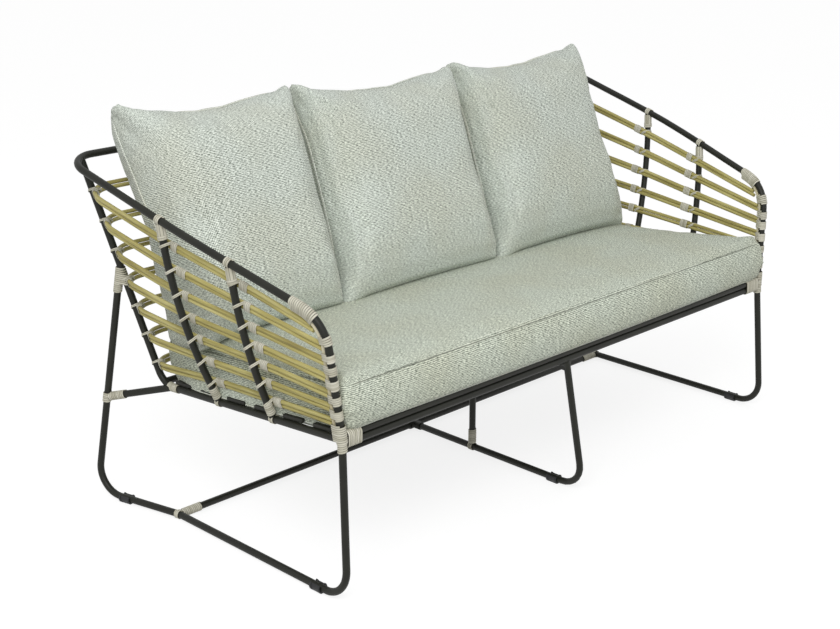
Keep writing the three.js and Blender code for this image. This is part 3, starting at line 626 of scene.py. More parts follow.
def makeCane(name, route, radius, material):
    stick = Sweeps()
    stick.addTube(route, radius, sides=14)
    stick.piece(f"{name}_peeled", material, "cane", replaced=[name])


pairLines = []
for row in range(1, rowCount + 1):
    names = [f"cane_{row}_{level}" for level in ("upper", "lower")]
    lines = [smoothRoute(centreLine(nodeName, rowLook["ringSize"])) for nodeName in names]
    reach = rowLook["lowestReach" if row == rowCount else "reach"]
    lines = [extended(line, reach) for line in softenedPair(lines, rowLook)]
    for nodeName, line in zip(names, lines):
        makeCane(nodeName, line, caneRadius + rowLook["grow"], cane)
    pairLines.append(lines)

# a filler lies inside the bend of each front upright, and ends a little past it
fillerSize = {"foot": (0.7309, 0.0124, 0.3426), "offset": 0.0128, "pastBend": 0.0163}


def fillerRoute(size):
    bendMarks = lengthsOf(rimStations)[1:7]
    plane = unit(np.cross(rimStations[1] - rimStations[0], rimStations[7] - rimStations[6]))
    line = [size["foot"]]
    for mark in (*bendMarks, bendMarks[-1] + size["pastBend"]):
        place, tangent = alongRoute(rimStations, mark)
        line.append(place + np.cross(plane, tangent) * size["offset"])
    return smoothRoute(inFrame(line))


fillers = {"right": fillerRoute(fillerSize)}
fillers["left"] = mirrored(fillers["right"])
for side, route in fillers.items():
    makeCane(f"filler_cane_{side}", route, caneRadius, paleCane)
print("canes made")


# bindings of flat reed

reedSize = {"width": 0.0043, "thickness": 0.0019, "pitch": 0.0046, "sides": 8, "turnSteps": 16}


def strap(sweeps, places, normals, width=reedSize["width"]):
    section = ovalSection(width, reedSize["thickness"], reedSize["sides"])
    sweeps.add(np.array(places), np.array(normals), section)


def crossing(route, origin, normal, farthest=0.06):
    # where a member's line passes through the plane of a turn
    ahead = (route - origin) @ normal
    spans = np.nonzero((ahead[:-1] * ahead[1:] <= 0) & (ahead[:-1] != ahead[1:]))[0]
    if not len(spans):
        return None
    points = [route[i] + (route[i + 1] - route[i]) * (ahead[i] / (ahead[i] - ahead[i + 1])) for i in spans]
    nearest = min(points, key=lambda place: np.linalg.norm(place - origin))
    return nearest if np.linalg.norm(nearest - origin) < farthest else None


def wind(sweeps, members, start, turns, pitch=reedSize["pitch"], angle=0.0, lift=0.0):
    # winds reed round the members, each a route and a radius; the first is the one it runs along
    axis = members[0][0]
    steps = reedSize["turnSteps"]
    places, normals = [], []
    first = acrossOf(alongRoute(axis, start)[1])
    for step in range(int(round(turns * steps)) + 1):
        share = step / steps
        origin, tangent = alongRoute(axis, start + pitch * share)
        first = unit(first - tangent * (first @ tangent))
        second = np.cross(tangent, first)
        turn = angle + share * 2 * math.pi
        outward = math.cos(turn) * first + math.sin(turn) * second
        best = None
        for route, radius in members:
            centre = crossing(route, origin, tangent)
            if centre is None:
                continue
            reach = (centre - origin) @ outward + radius
            if best is None or reach > best[0]:
                best = (reach, centre + outward * (radius + reedSize["thickness"] / 2 + lift))
        if best is None:
            continue
        places.append(best[1])
        normals.append(outward)
    strap(sweeps, places, normals)


def nearestPlaces(route, other, step=0.002):
    # distances along two routes where they come closest
    def fine(line):
        lengths = lengthsOf(line)
        marks = np.arange(0, lengths[-1], step)
        return marks, np.column_stack([np.interp(marks, lengths, line[:, way]) for way in range(3)])
    marks, places = fine(route)
    otherMarks, otherPlaces = fine(other)
    gaps = np.linalg.norm(places[:, None] - otherPlaces[None], axis=2)
    here, there = np.unravel_index(np.argmin(gaps), gaps.shape)
    return marks[here], otherMarks[there]


# two strands round a post and a pair of canes: the oval that holds the pair is 2.5 times as tall as a cane
tieSize = {
    "width": 0.003, "apart": 0.0031, "climb": 0.7, "turns": 1.02, "steps": 20, "tail": 0.0002,
    "postStretch": 1.12, "caneStretch": 2.5,
}


def tieLoop(sweeps, post, postAt, pair, pairAt, lean):
    # two strands side by side, slanted round a post and a pair of canes
    postPlace, postWay = alongRoute(post, postAt)
    pairPlace, pairWay = alongRoute(pair, pairAt)
    if postWay[2] < 0:
        postWay = -postWay
    radial = unit(postPlace - pairPlace)
    pairWay = unit(pairWay - radial * (pairWay @ radial)) * lean
    postWay = unit(postWay - radial * (postWay @ radial))
    slant = unit(tieSize["climb"] * postWay + pairWay)
    aside = unit(np.cross(radial, slant))
    ovals = [(postPlace, tubeRadius, tubeRadius * tieSize["postStretch"]),
             (pairPlace, caneRadius, caneRadius * tieSize["caneStretch"])]
    steps = tieSize["steps"]
    for offset in (-0.5, 0.5):
        places, normals = [], []
        for step in range(steps + 1):
            turn = (step / steps) * 2 * math.pi * tieSize["turns"] + math.pi
            c, s = math.cos(turn), math.sin(turn)
            outward = c * radial + s * slant
            best = None
            for centre, flat, tall in ovals:
                hull = math.hypot(flat * c, tall * s)
                reach = centre @ outward + hull
                if best is None or reach > best[0]:
                    best = (reach, centre + (flat ** 2 * c * radial + tall ** 2 * s * slant) / hull)
            place = best[1] + outward * (reedSize["thickness"] / 2 + tieSize["tail"] * (step == steps))
            places.append(place + aside * offset * tieSize["apart"])
            normals.append(outward)
        strap(sweeps, places, normals, width=tieSize["width"])


rowWrap = {"fewest": 4, "most": 6, "besidePost": 0.003}


def lashPost(post, pairSide, lean):
    # a tie at each row, and beside it a wrap round the pair
    lashing = Sweeps()
    for upper, lower in pairLines:
        pair = (upper + lower) / 2
        postAt, pairAt = nearestPlaces(post, pair)
        tieLoop(lashing, post, postAt, pair, pairAt, lean)
        turns = int(rng.integers(rowWrap["fewest"], rowWrap["most"] + 1))
        span = turns * reedSize["pitch"]
        clear = tubeRadius + rowWrap["besidePost"]
        start = pairAt + (clear if pairSide > 0 else -clear - span)
        wind(lashing, [(pair, caneRadius), (upper, caneRadius), (lower, caneRadius)], start, turns)
    return lashing


# three turns round the rim, strands that run down the post, and a ring that holds them
rimWrap = {
    "turns": 3.4, "startBack": 0.0079, "lift": 0.0004,
    "strands": 9, "strandWidth": 0.0066, "strandTop": 0.0064, "down": 0.036, "steps": 4,
    "ringTurns": 2.3, "ringOut": 0.0012,
}


def wrapOverRim(lashing, rim, post):
    rimAt, postAt = nearestPlaces(rim, post)
    downward = -1 if postAt > lengthsOf(post)[-1] / 2 else 1
    wind(lashing, [(rim, tubeRadius)], rimAt - rimWrap["startBack"], rimWrap["turns"], lift=rimWrap["lift"])
    top, down, steps = rimWrap["strandTop"], rimWrap["down"], rimWrap["steps"]
    for index in range(rimWrap["strands"]):
        turn = index / rimWrap["strands"] * 2 * math.pi
        places, normals = [], []
        for step in range(steps + 1):
            place, tangent = alongRoute(post, postAt + downward * (top + (down - top) * step / steps))
            first = unit(np.array([1.0, 0, 0]) - tangent * tangent[0])
            outward = math.cos(turn) * first + math.sin(turn) * np.cross(tangent, first)
            places.append(place + outward * (tubeRadius + reedSize["thickness"] / 2))
            normals.append(outward)
        strap(lashing, places, normals, width=rimWrap["strandWidth"])
    ringAt = postAt + downward * down - reedSize["pitch"] * rimWrap["ringTurns"] / 2
    wind(lashing, [(post, tubeRadius + rimWrap["ringOut"])], ringAt, rimWrap["ringTurns"])


# short wraps at the joints: where each starts, how many turns it has and how far it stands off
wrapSizes = {
    "post foot": {"start": 0.012, "turns": 6, "lift": 0.0},
    "rail at post": {"start": -0.008, "turns": 3.4, "lift": 0.0004},
    "front corner": {"start": -0.0075, "turns": 8.6, "lift": 0.0018},
    "leg below corner": {"start": -0.0075, "turns": 4, "lift": 0.0003},
    "front rails left": {"start": 0.0095, "turns": 8, "lift": 0.0009},
    "front rails right": {"start": 0.0095, "turns": 11, "lift": 0.0009},
    "rear leg and post": {"start": 0.004, "turns": 8, "lift": 0.0003},
    "rear leg": {"start": 0.004, "turns": 5, "lift": 0.0003},
    "connector": {"start": 0.009, "turns": 9, "lift": 0.0003},
    "leg at connector": {"start": -0.012, "turns": 5, "lift": 0.0005},
    "hoop bend": {"start": -0.026, "turns": 8.5, "lift": 0.0003},
    "stretcher": {"start": 0.008, "turns": 11, "lift": 0.0003},
    "runner": {"start": -0.007, "turns": 3, "lift": 0.0005},
    "strut": {"start": 0.009, "turns": 8, "lift": 0.0003},
}


def wrap(lashing, name, at, *members):
    # a wrap at a distance along the first member; a member is a route, or a route and a radius
    size = wrapSizes[name]
    members = [member if isinstance(member, tuple) else (member, tubeRadius) for member in members]
    wind(lashing, members, at + size["start"], size["turns"], lift=size["lift"])


def spanOf(name):
    return wrapSizes[name]["turns"] * reedSize["pitch"]


for side, own in routes.items():
    lean = -1 if side == "left" else 1
    rim, hoop = own["rim"], own["side_hoop"]
    for name in armPostSize:
        post = own[name]
        # beside each crossing the wrap lies in front of a left post and behind a right one
        lashing = lashPost(post, -1, lean)
        wrapOverRim(lashing, rim, post)
        wrap(lashing, "post foot", 0, post)
        wrap(lashing, "rail at post", nearestPlaces(hoop, post)[0], hoop)
        lashing.piece(f"lashing_{name}_{side}", reed, "strand")
    lashPost(hoop, -1, lean).piece(f"lashing_corner_post_{side}", reed, "strand")
for index, post in enumerate(backPosts):
    lashing = lashPost(post, 1 if post[0][0] > 0 else -1, 1)
    wrapOverRim(lashing, wholeRim, post)
    lashing.piece(f"lashing_back_post_{index + 1}", reed, "strand")
print("posts lashed")

# front uprights: windows of bare tube between groups of turns, by distance above the foot
uprightWindows = {
    "left": [(0.0325, 0.0435), (0.0645, 0.0755), (0.0945, 0.107), (0.128, 0.1385), (0.1575, 0.1655),
             (0.182, 0.2005), (0.219, 0.257)],
    "right": [(0.0325, 0.0405), (0.071, 0.0815), (0.1, 0.1105), (0.1315, 0.1415), (0.1625, 0.168),
              (0.1885, 0.2065), (0.2305, 0.263)],
}
uprightWrap = {"end": 0.322, "startIn": 0.0008, "endIn": 0.0002, "fewestTurns": 2, "lift": 0.0003}


def bindUpright(side, upright, filler):
    binding = Sweeps()
    windows = uprightWindows[side]
    groupEnds = [window[0] for window in windows[1:]] + [uprightWrap["end"]]
    for (_, start), end in zip(windows, groupEnds):
        turns = max(uprightWrap["fewestTurns"], round((end - start) / reedSize["pitch"]))
        pitch = (end - start - uprightWrap["startIn"] - uprightWrap["endIn"]) / turns
        wind(binding, [(upright, tubeRadius), filler], start + uprightWrap["startIn"], turns, pitch=pitch,
             lift=uprightWrap["lift"], angle=math.pi)
    binding.piece(f"upright_reed_{side}", reed, "strand", replaced=[f"upright_binding_{side}"])


def bindFrontCorner(side, upright, leg, filler):
    # the leg's head runs on into the upright, so the block of turns goes over both
    joint = Sweeps()
    legHead = leg[:2][::-1]
    cornerLine = np.vstack([legHead, upright[1:4]])
    cornerAt = np.linalg.norm(legHead[1] - legHead[0])
    wrap(joint, "front corner", cornerAt, cornerLine, filler)
    wrap(joint, "leg below corner", cornerAt - spanOf("leg below corner"), cornerLine)
    rails = [singleTubes[name] if side == "left" else singleTubes[name][::-1] for name in railHeights]
    wrap(joint, f"front rails {side}", 0, *rails)
    joint.piece(f"lashing_front_corner_{side}", reed, "strand")


def bindRearLeg(side, rearLeg, hoop):
    # rear leg to the corner post, tapering as they part, then the leg alone
    heel = Sweeps()
    wrap(heel, "rear leg and post", 0, rearLeg, hoop[::-1])
    wrap(heel, "rear leg", spanOf("rear leg and post"), rearLeg)
    heel.piece(f"lashing_rear_leg_{side}", reed, "strand")


def bindConnector(side, rearLeg, connector):
    link = Sweeps()
    wrap(link, "connector", 0, connector)
    wrap(link, "leg at connector", nearestPlaces(rearLeg, connector)[0], rearLeg)
    link.piece(f"lashing_connector_{side}", reed, "strand")


def bindHoopBend(side, hoop):
    bend = Sweeps()
    wrap(bend, "hoop bend", distanceAt(hoop, 1, inFrame(hoopStations)[1, 1]), hoop)
    bend.piece(f"lashing_hoop_bend_{side}", reed, "strand")


def bindStretcher(side, leg):
    kink = Sweeps()
    wrap(kink, "stretcher", 0, singleTubes["stretcher"] if side == "left" else singleTubes["stretcher"][::-1])
    wrap(kink, "runner", distanceAt(leg, 1, inFrame(legSize["kink"])[1]), leg)
    kink.piece(f"lashing_stretcher_{side}", reed, "strand")


def bindStrut(size):
    foot = Sweeps()
    wrap(foot, "strut", 0, singleTubes["centre_strut"])
    runner = inFrame([(0, size[end], size["foot"]) for end in ("runnerStart", "runnerEnd")])
    wrap(foot, "runner", size["back"] - size["runnerStart"], runner)
    foot.piece("lashing_centre_strut", reed, "strand")


for side, own in routes.items():
    filler = (fillers[side], caneRadius)
    bindUpright(side, own["rim"], filler)
    bindFrontCorner(side, own["rim"], own["leg_loop"], filler)
    bindRearLeg(side, own["leg_loop"][::-1], own["side_hoop"])
    bindConnector(side, own["leg_loop"][::-1], own["connector"])
    bindHoopBend(side, own["side_hoop"])
    bindStretcher(side, own["leg_loop"])
bindStrut(strutSize)
print("joints bound")


# cushions

# both in radians; the cushions lie turned by them about the sofa's length
seatSlope = 0.09125
pillowLean = 0.22316 + math.radians(7.2)  # the back posts' lean, and what the pillows settle beyond it
clothSettings = {
    "quality": 4, "mass": 0.2, "tension_stiffness": 12, "compression_stiffness": 12,
    "bending_stiffness": 0.15, "use_pressure": True, "vertex_group_mass": "seams",
}
clothFrames = 20
# lengths in metres, in each cushion's own lie
seatLook = {
    "voxel": 0.011, "smooth": 2, "tilt": -seatSlope, "fill": 0.8,
    "pressure": 3.0, "shrink": -0.02, "cap": 0.002,
    "pinIn": 0.02, "pinDown": 0.03, "pinFoot": 0.008, "freeUp": 0.04,
    # the sides and the front hang out and down over the rails at their foot
    "sideTop": 0.008, "sideFoot": 0.014, "frontFoot": 0.009, "frontDrop": 0.006, "sideDrop": 0.024,
    "sideBand": 0.07, "frontBand": 0.06, "edgeBand": 0.015, "backBand": 0.12, "footBand": 0.1,
    "cornerShare": 0.1, "earOut": 0.011, "earUp": 0.003,
    # the top seam and the piping at the foot, and the edge of the cloth below
    "topSeam": 0.0011, "seamDown": 0.026, "seamOut": 0.0002,
    "footSeam": 0.0016, "pipingUp": 0.013, "pipingOut": 0.0004, "underEdge": 0.004,
}
pillowLook = {
    "voxel": 0.008, "smooth": 2, "tilt": -pillowLean, "fill": 0.75,
    "pressure": 4.0, "shrink": -0.012, "cap": 0.009,
    "pinDepth": 0.008, "pinShare": 0.85, "freeFrom": 0.01, "freeUp": 0.16,
    "edgeBand": 0.06, "edgeEnd": 0.01, "highShare": 0.4, "lowShare": 0.45, "frontBand": 0.07,
    "waistUp": 0.06, "bulgeBand": 0.16, "bulgeEnd": 0.01,
    "highEar": 0.002, "earReach": 0.07, "earUpShare": 0.7,
    "sewnBand": 0.012, "piping": 0.003, "pipingShare": 0.4,
}
# how each pillow lies: how far back its left edge is sewn, the share by which that fades out at the foot,
# how far its right side bulges, and how far its lower corners stand out
pillowLies = {
    "pillow_left": {"edgeBack": 0.018, "footFade": 0.0, "bulge": 0.014, "leftEar": 0.012, "rightEar": 0.0},
    "pillow_middle": {"edgeBack": -0.026, "footFade": 1.0, "bulge": 0.008, "leftEar": 0.012, "rightEar": 0.0},
    "pillow_right": {"edgeBack": -0.026, "footFade": 1.0, "bulge": 0.005, "leftEar": 0.012, "rightEar": 0.01},
}
# the left pillow's outer corner hangs down beside the seat cushion
hangingCorner = {"place": (-0.735, 0.165, 0.425), "move": (-0.006, 0.022, -0.036), "reach": 0.1}


def placesOf(mesh):
    places = np.zeros(len(mesh.vertices) * 3)
    mesh.vertices.foreach_get("co", places)
    return places.reshape(-1, 3)


def setPlaces(mesh, places):
    mesh.vertices.foreach_set("co", places.ravel())
    mesh.update()


def turnOf(tilt):
    return np.array(Matrix.Rotation(-tilt, 3, "X"))


def toOwn(places, tilt, centre):
    # into the cushion's own lie
    return (places - centre) @ turnOf(tilt).T


def toWorld(own, tilt, centre):
    return own @ turnOf(tilt) + centre


def halfSizes(own):
    return np.abs(own).max(axis=0)


def rise(values, start, end):
    share = np.clip((values - start) / (end - start), 0, 1)
    return share * share * (3 - 2 * share)


def pull(places, centre, move, reach):
    # a soft tug on everything near a place
    far = np.clip(np.linalg.norm(places - centre, axis=1) / reach, 0, 1)
    return places + (0.5 + 0.5 * np.cos(math.pi * far))[:, None] * np.array(move)


def remeshed(nodeName, look):
    piece = copyOf(nodeName, "cover")
    bpy.ops.mesh.normals_make_consistent(inside=False)
    bpy.ops.object.mode_set(mode="OBJECT")
    applyModifier(piece, "SUBSURF", {"levels": 2, "render_levels": 2, "subdivision_type": "SIMPLE"})
    applyModifier(piece, "REMESH", {"mode": "VOXEL", "voxel_size": look["voxel"]})
    applyModifier(piece, "SMOOTH", {"factor": 0.5, "iterations": look["smooth"]})
    return piece


def seatHold(own, look):
    # which places of the cloth are pinned, and how free each is to move
    halfWidth, halfLength, _ = halfSizes(own)
    height = own[:, 2] - own[:, 2].min()
    atSide = np.maximum(np.abs(own[:, 0]) - halfWidth, np.abs(own[:, 1]) - halfLength) > -look["pinIn"]
    pinned = atSide & (height > height.max() - look["pinDown"]) | (height < look["pinFoot"])
    return pinned, rise(height, look["pinFoot"], look["freeUp"])


def pillowHold(own, look):
    halfWidth, _, halfHeight = halfSizes(own)
    reach = np.maximum(np.abs(own[:, 0]) / halfWidth, np.abs(own[:, 2]) / halfHeight)
    pinned = (np.abs(own[:, 1]) < look["pinDepth"]) & (reach > look["pinShare"])
    return pinned, rise(own[:, 2], -halfHeight + look["freeFrom"], -halfHeight + look["freeUp"])


def puff(piece, look, pinned, free):
    # cloth inflated by pressure; how far a point may move is capped
    before = placesOf(piece.data)
    selectOnly(piece)
    group = piece.vertex_groups.new(name="seams")
    group.add([int(index) for index in np.nonzero(pinned)[0]], 1.0, "REPLACE")
    modifier = piece.modifiers.new("Cloth", "CLOTH")
    settings = modifier.settings
    for name, value in clothSettings.items():
        setattr(settings, name, value)
    settings.uniform_pressure_force = look["pressure"]
    settings.shrink_min = look["shrink"]
    settings.effector_weights.gravity = 0
    modifier.point_cache.frame_start = 1
    modifier.point_cache.frame_end = clothFrames
    scene = bpy.context.scene
    for number in range(1, clothFrames + 1):
        scene.frame_set(number)
    bpy.ops.object.modifier_apply(modifier=modifier.name)
    after = placesOf(piece.data)
    scene.frame_set(1)
    piece.vertex_groups.clear()
    move = after - before
    far = np.linalg.norm(move, axis=1)
    move *= np.minimum(1, look["cap"] * free / np.maximum(far, 1e-9))[:, None]
    setPlaces(piece.data, before + move)


def shapedSeat(own, look):
    # sides and front hang over the rails at their foot, and the front corners stand up in ears
    halfWidth, halfLength, _ = halfSizes(own)
    foot = own[:, 2].min()
    middle = 1 - (own[:, 0] / halfWidth) ** 2
    sideways = rise(np.abs(own[:, 0]), halfWidth - look["sideBand"], halfWidth - look["edgeBand"])
    forward = rise(-own[:, 1], halfLength - look["frontBand"], halfLength - look["edgeBand"])
    backward = rise(own[:, 1], halfLength - look["backBand"], halfLength)
    down = np.clip((foot + look["footBand"] - own[:, 2]) / look["footBand"], 0, 1)
    own = own.copy()
    own[:, 0] += np.sign(own[:, 0]) * sideways * (look["sideTop"] + look["sideFoot"] * down) * (1 - backward)
    own[:, 1] -= forward * look["frontFoot"] * down
    frontShare = look["cornerShare"] + (1 - look["cornerShare"]) * middle
    own[:, 2] -= down ** 3 * (look["frontDrop"] * forward * frontShare
                              + look["sideDrop"] * sideways * (1 - forward))
    own[:, 2] += sideways * forward * (1 - down) * look["earUp"]
    own[:, 0] += np.sign(own[:, 0]) * sideways * forward * (1 - down) * look["earOut"]
    return own


def edgeDepth(own, look):
    # how far back the sewn edge lies, on the left side and below the top
    halfWidth, _, halfHeight = halfSizes(own)
    atSide = rise(-own[:, 0], halfWidth - look["edgeBand"], halfWidth - look["edgeEnd"])
    atTop = rise(own[:, 2], halfHeight * look["highShare"], halfHeight)
    atFoot = 1 - rise(own[:, 2], -halfHeight, -halfHeight * look["lowShare"])
    return look["edgeBack"] * atSide * (1 - atTop) * (1 - look["footFade"] * atFoot)


def bulgeOf(own, look):
    # how far the right side stands out, most a little above the middle
    halfWidth, _, halfHeight = halfSizes(own)
    waist = np.clip(1 - ((own[:, 2] - look["waistUp"]) / halfHeight) ** 2, 0, 1)
    atSide = rise(own[:, 0], halfWidth - look["bulgeBand"], halfWidth - look["bulgeEnd"])
    return look["bulge"] * atSide * waist


def sewnDepth(own, look):
    # depth of the sewn edge after the cushion is shaped
    return edgeDepth(own, look) - bulgeOf(own, look)


def shapedPillow(own, look):
    halfWidth, _, halfHeight = halfSizes(own)
    own = own.copy()
    own[:, 1] += edgeDepth(own, look) * (1 - rise(own[:, 1], 0.0, look["frontBand"]))
    bulging = bulgeOf(own, look)
    own[:, 0] += bulging
    own[:, 1] -= bulging * (1 - rise(own[:, 1], 0.0, look["frontBand"]))
    for sideways, upward, ear in ((-1, -1, look["leftEar"]), (1, -1, look["rightEar"]),
                                  (-1, 1, look["highEar"]), (1, 1, look["highEar"])):
        tip = own[np.argmax(sideways * own[:, 0] / halfWidth + upward * own[:, 2] / halfHeight)]
        own = pull(own, tip, (sideways * ear, 0, upward * ear * look["earUpShare"]), look["earReach"])
    return own


def wrapped(values, depth, flatShare=0.3):
    # a flat measure that runs on down a rounded edge
    half = np.abs(values).max()
    return values + np.sign(values) * rise(np.abs(values), half * flatShare, half) * depth


def seatWeave(own, middles, look):
    # top, sides and underside are cloths of their own
    over = own[:, 2].max() - own[:, 2]
    top = np.column_stack([wrapped(own[:, 0], over), wrapped(own[:, 1], over)])
    band = np.column_stack([own[:, 0] + np.sign(own[:, 0]) * (own[:, 1] - own[:, 1].min()), own[:, 2]])
    onTop = middles[:, 2] > own[:, 2].max() - look["seamDown"]
    below = middles[:, 2] < own[:, 2].min() + look["underEdge"]
    return np.where(onTop[:, None], top, np.where(below[:, None], own[:, :2], band))


def pillowWeave(own, middles, look):
    front = middles[:, 1] < sewnDepth(middles, look)
    depth = np.where(front, own[:, 1] - own[:, 1].min(), own[:, 1].max() - own[:, 1])
    return np.column_stack([wrapped(own[:, 0], depth), wrapped(own[:, 2], depth)])


def layWeave(piece, weave, look, centre):
    # lays the cloth over the cushion in metres, cut where the cushion is sewn
    mesh = piece.data
    faceCount = len(mesh.polygons)
    centres, sizes = np.zeros(faceCount * 3), np.zeros(faceCount, int)
    owners = np.zeros(len(mesh.loops), int)
    mesh.polygons.foreach_get("center", centres)
    mesh.polygons.foreach_get("loop_total", sizes)
    mesh.loops.foreach_get("vertex_index", owners)
    own = toOwn(placesOf(mesh), look["tilt"], centre)[owners]
    middles = toOwn(centres.reshape(-1, 3), look["tilt"], centre)[np.repeat(np.arange(faceCount), sizes)]
    layer = mesh.uv_layers.new(name="weave")
    layer.data.foreach_set("uv", weave(own, middles, look).astype(np.float32).ravel())


def easedLoop(line, times):
    for _ in range(times):
        line = (np.roll(line, 1, axis=0) + 2 * line + np.roll(line, -1, axis=0)) / 4
    return line


def seatSeam(own, height, spread=0.006, counts=(120, 56, 120, 56)):
    # the outline of the cover at one height
    near = own[np.abs(own[:, 2] - height) < spread]
    corners = np.array([(-1, -1), (1, -1), (1, 1), (-1, 1)]) * halfSizes(near)[:2]
    line = np.vstack([start + (end - start) * np.arange(count)[:, None] / count
                      for start, end, count in zip(corners, np.roll(corners, -1, axis=0), counts)])
    return np.column_stack([line, np.full(len(line), height)])


def pillowSeam(own, look, bins=150):
    # outermost places round the sewn edge, one for each direction
    halfWidth, _, halfHeight = halfSizes(own)
    near = own[np.abs(own[:, 1] - sewnDepth(own, look)) < look["sewnBand"]]
    across, up = near[:, 0] / halfWidth, near[:, 2] / halfHeight
    marks = np.floor((np.arctan2(up, across) + math.pi) / (2 * math.pi) * bins).astype(int) % bins
    reach = np.hypot(across, up)
    line = []
    for mark in range(bins):
        inside = np.nonzero(marks == mark)[0]
        if len(inside):
            line.append(near[inside[np.argmax(reach[inside])]])
    line = easedLoop(np.array(line), 2)
    line[:, 1] = sewnDepth(line, look)
    return line


def tubeOnCover(cover, targets, outwardBy, radius, sides, look, centre):
    # a tube along a line of places laid on the cover, standing out a little
    line = []
    for target in toWorld(targets, look["tilt"], centre):
        _, place, normal, _ = cover.closest_point_on_mesh(Vector(target))
        line.append(np.array(place) + np.array(normal) * outwardBy)
    line = easedLoop(np.array(line), 3)
    tube = Sweeps()
    tube.addTube(np.vstack([line, line[:2]]), radius, sides)
    return tube


def sewOn(tube, nodeName, suffix, material):
    piece = tube.piece(f"{nodeName}_{suffix}", material, "fabric", body=nodeName)
    piece.data.uv_layers["grain"].name = "weave"


def trimSeat(cover, nodeName, own, look, centre):
    top, foot = own[:, 2].max() - look["seamDown"], own[:, 2].min() + look["pipingUp"]
    seam = tubeOnCover(cover, seatSeam(own, top), look["seamOut"], look["topSeam"], 6, look, centre)
    piping = tubeOnCover(cover, seatSeam(own, foot), look["pipingOut"], look["footSeam"], 8, look, centre)
    sewOn(piping, nodeName, "piping", pipingTweed)
    # the seam tube carries the painted shade of the sewn groove
    sewOn(seam, nodeName, "seam", seamShadeTweed)


def trimPillow(cover, nodeName, own, look, centre):
    outwardBy = look["piping"] * look["pipingShare"]
    piping = tubeOnCover(cover, pillowSeam(own, look), outwardBy, look["piping"], 8, look, centre)
    sewOn(piping, nodeName, "piping", pipingTweed)


def makeCushion(nodeName, look, material, hold, shaped, weave, trim):
    piece = remeshed(nodeName, look)
    tilt = look["tilt"]
    places = placesOf(piece.data)
    centre = (places.min(axis=0) + places.max(axis=0)) / 2
    puff(piece, look, *hold(toOwn(places, tilt, centre), look))
    own = shaped(toOwn(placesOf(piece.data), tilt, centre), look)
    places = toWorld(own, tilt, centre)
    if nodeName == "pillow_left":
        places = pull(places, np.array(hangingCorner["place"]), hangingCorner["move"], hangingCorner["reach"])
    setPlaces(piece.data, places)
    applyModifier(piece, "SUBSURF", {"levels": 1, "render_levels": 1})
    giveMaterial(piece, material)
    layWeave(piece, weave, look, centre)
    selectOnly(piece)
    bpy.ops.object.shade_smooth()
    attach(piece, nodeName)
    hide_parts(nodeName)
    trim(piece, nodeName, own, look, centre)
    print(nodeName, "made")


makeCushion("seat_cushion", seatLook, shadedSeatTweed, seatHold, shapedSeat, seatWeave, trimSeat)
for nodeName, lie in pillowLies.items():
    makeCushion(nodeName, {**pillowLook, **lie}, tweed, pillowHold, shapedPillow, pillowWeave, trimPillow)


# stage, lamps and camera

studio = {"floorSize": 90, "floorHeight": -0.0003, "floorGlow": 1.12, "glowShare": 0.72, "worldLevel": 0.62}
softboxes = {
    "key_softbox": {"place": (-3.2, -2.6, 3.6), "size": 2.6, "power": 132},
    "fill_softbox": {"place": (2.8, -3.4, 2.4), "size": 2.6, "power": 12},
}
softboxTarget = (0, 0, 0.4)
photoCamera = {
    "place": (-2.5153, -2.3664, 1.4984), "heading": (0.67178, 0.66967, -0.31664), "lens": 63.85, "sensor": 36,
}


def shownShare(tree):
    # whether a ray comes from the camera, a reflection or glass
    rays = addNode(tree, "ShaderNodeLightPath")
    seen = addNode(tree, "ShaderNodeMath", {"operation": "MAXIMUM"},
                   {0: rays.outputs["Is Glossy Ray"], 1: rays.outputs["Is Transmission Ray"]})
    shown = addNode(tree, "ShaderNodeMath", {"operation": "MAXIMUM"},
                    {0: rays.outputs["Is Camera Ray"], 1: seen.outputs[0]})
    return shown.outputs[0]


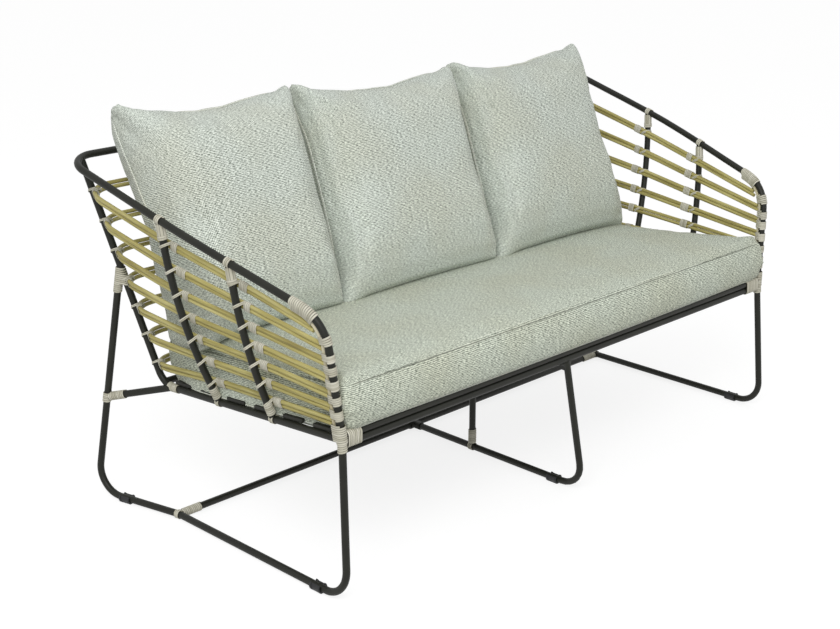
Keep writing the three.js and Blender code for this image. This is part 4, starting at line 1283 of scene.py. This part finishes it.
def makeFloor():
    bpy.ops.mesh.primitive_plane_add(size=studio["floorSize"], location=(0, 0, studio["floorHeight"]))
    floor = bpy.context.object
    floor.name = "studio_floor"
    material = bpy.data.materials.new("studio_white")
    material.use_nodes = True
    tree = material.node_tree
    tree.nodes.clear()
    shown = shownShare(tree)
    share = addNode(tree, "ShaderNodeMath", {"operation": "MULTIPLY", 1: studio["glowShare"]}, {0: shown})
    # the floor throws back little light, and the camera sees it white
    toned = addNode(tree, "ShaderNodeMix",
                    {"data_type": "RGBA", 6: fromHex("#c4c4c2"), 7: fromHex("#ffffff")}, {0: shown})
    matt = addNode(tree, "ShaderNodeBsdfDiffuse", links={"Color": toned.outputs[2]})
    glow = addNode(tree, "ShaderNodeEmission", {"Color": fromHex("#ffffff"), "Strength": studio["floorGlow"]})
    mixed = addNode(tree, "ShaderNodeMixShader",
                    links={0: share.outputs[0], 1: matt.outputs[0], 2: glow.outputs[0]})
    addNode(tree, "ShaderNodeOutputMaterial", links={"Surface": mixed.outputs[0]})
    floor.data.materials.append(material)


def makeWorld():
    world = bpy.data.worlds.new("studio")
    bpy.context.scene.world = world
    world.use_nodes = True
    tree = world.node_tree
    tree.nodes.clear()
    white = fromHex("#ffffff")
    lit = addNode(tree, "ShaderNodeBackground", {"Color": white, "Strength": studio["worldLevel"]})
    plain = addNode(tree, "ShaderNodeBackground", {"Color": white, "Strength": 1.0})
    mixed = addNode(tree, "ShaderNodeMixShader",
                    links={0: shownShare(tree), 1: lit.outputs[0], 2: plain.outputs[0]})
    addNode(tree, "ShaderNodeOutputWorld", links={"Surface": mixed.outputs[0]})


def makeSoftbox(name, box):
    data = bpy.data.lights.new(name, "AREA")
    data.shape = "SQUARE"
    data.size = box["size"]
    data.energy = box["power"]
    lamp = bpy.data.objects.new(name, data)
    lamp.location = box["place"]
    lamp.rotation_euler = (Vector(softboxTarget) - Vector(box["place"])).to_track_quat("-Z", "Y").to_euler()
    bpy.context.scene.collection.objects.link(lamp)


def makeCamera():
    camera = bpy.data.objects.new("camera", bpy.data.cameras.new("camera"))
    camera.data.sensor_width = photoCamera["sensor"]
    camera.data.lens = photoCamera["lens"]
    camera.location = photoCamera["place"]
    camera.rotation_euler = Vector(photoCamera["heading"]).to_track_quat("-Z", "Y").to_euler()
    bpy.context.scene.collection.objects.link(camera)
    bpy.context.scene.camera = camera


makeFloor()
makeWorld()
for name, box in softboxes.items():
    makeSoftbox(name, box)
makeCamera()
bpy.context.scene.view_settings.view_transform = "Standard"
print("stage set")
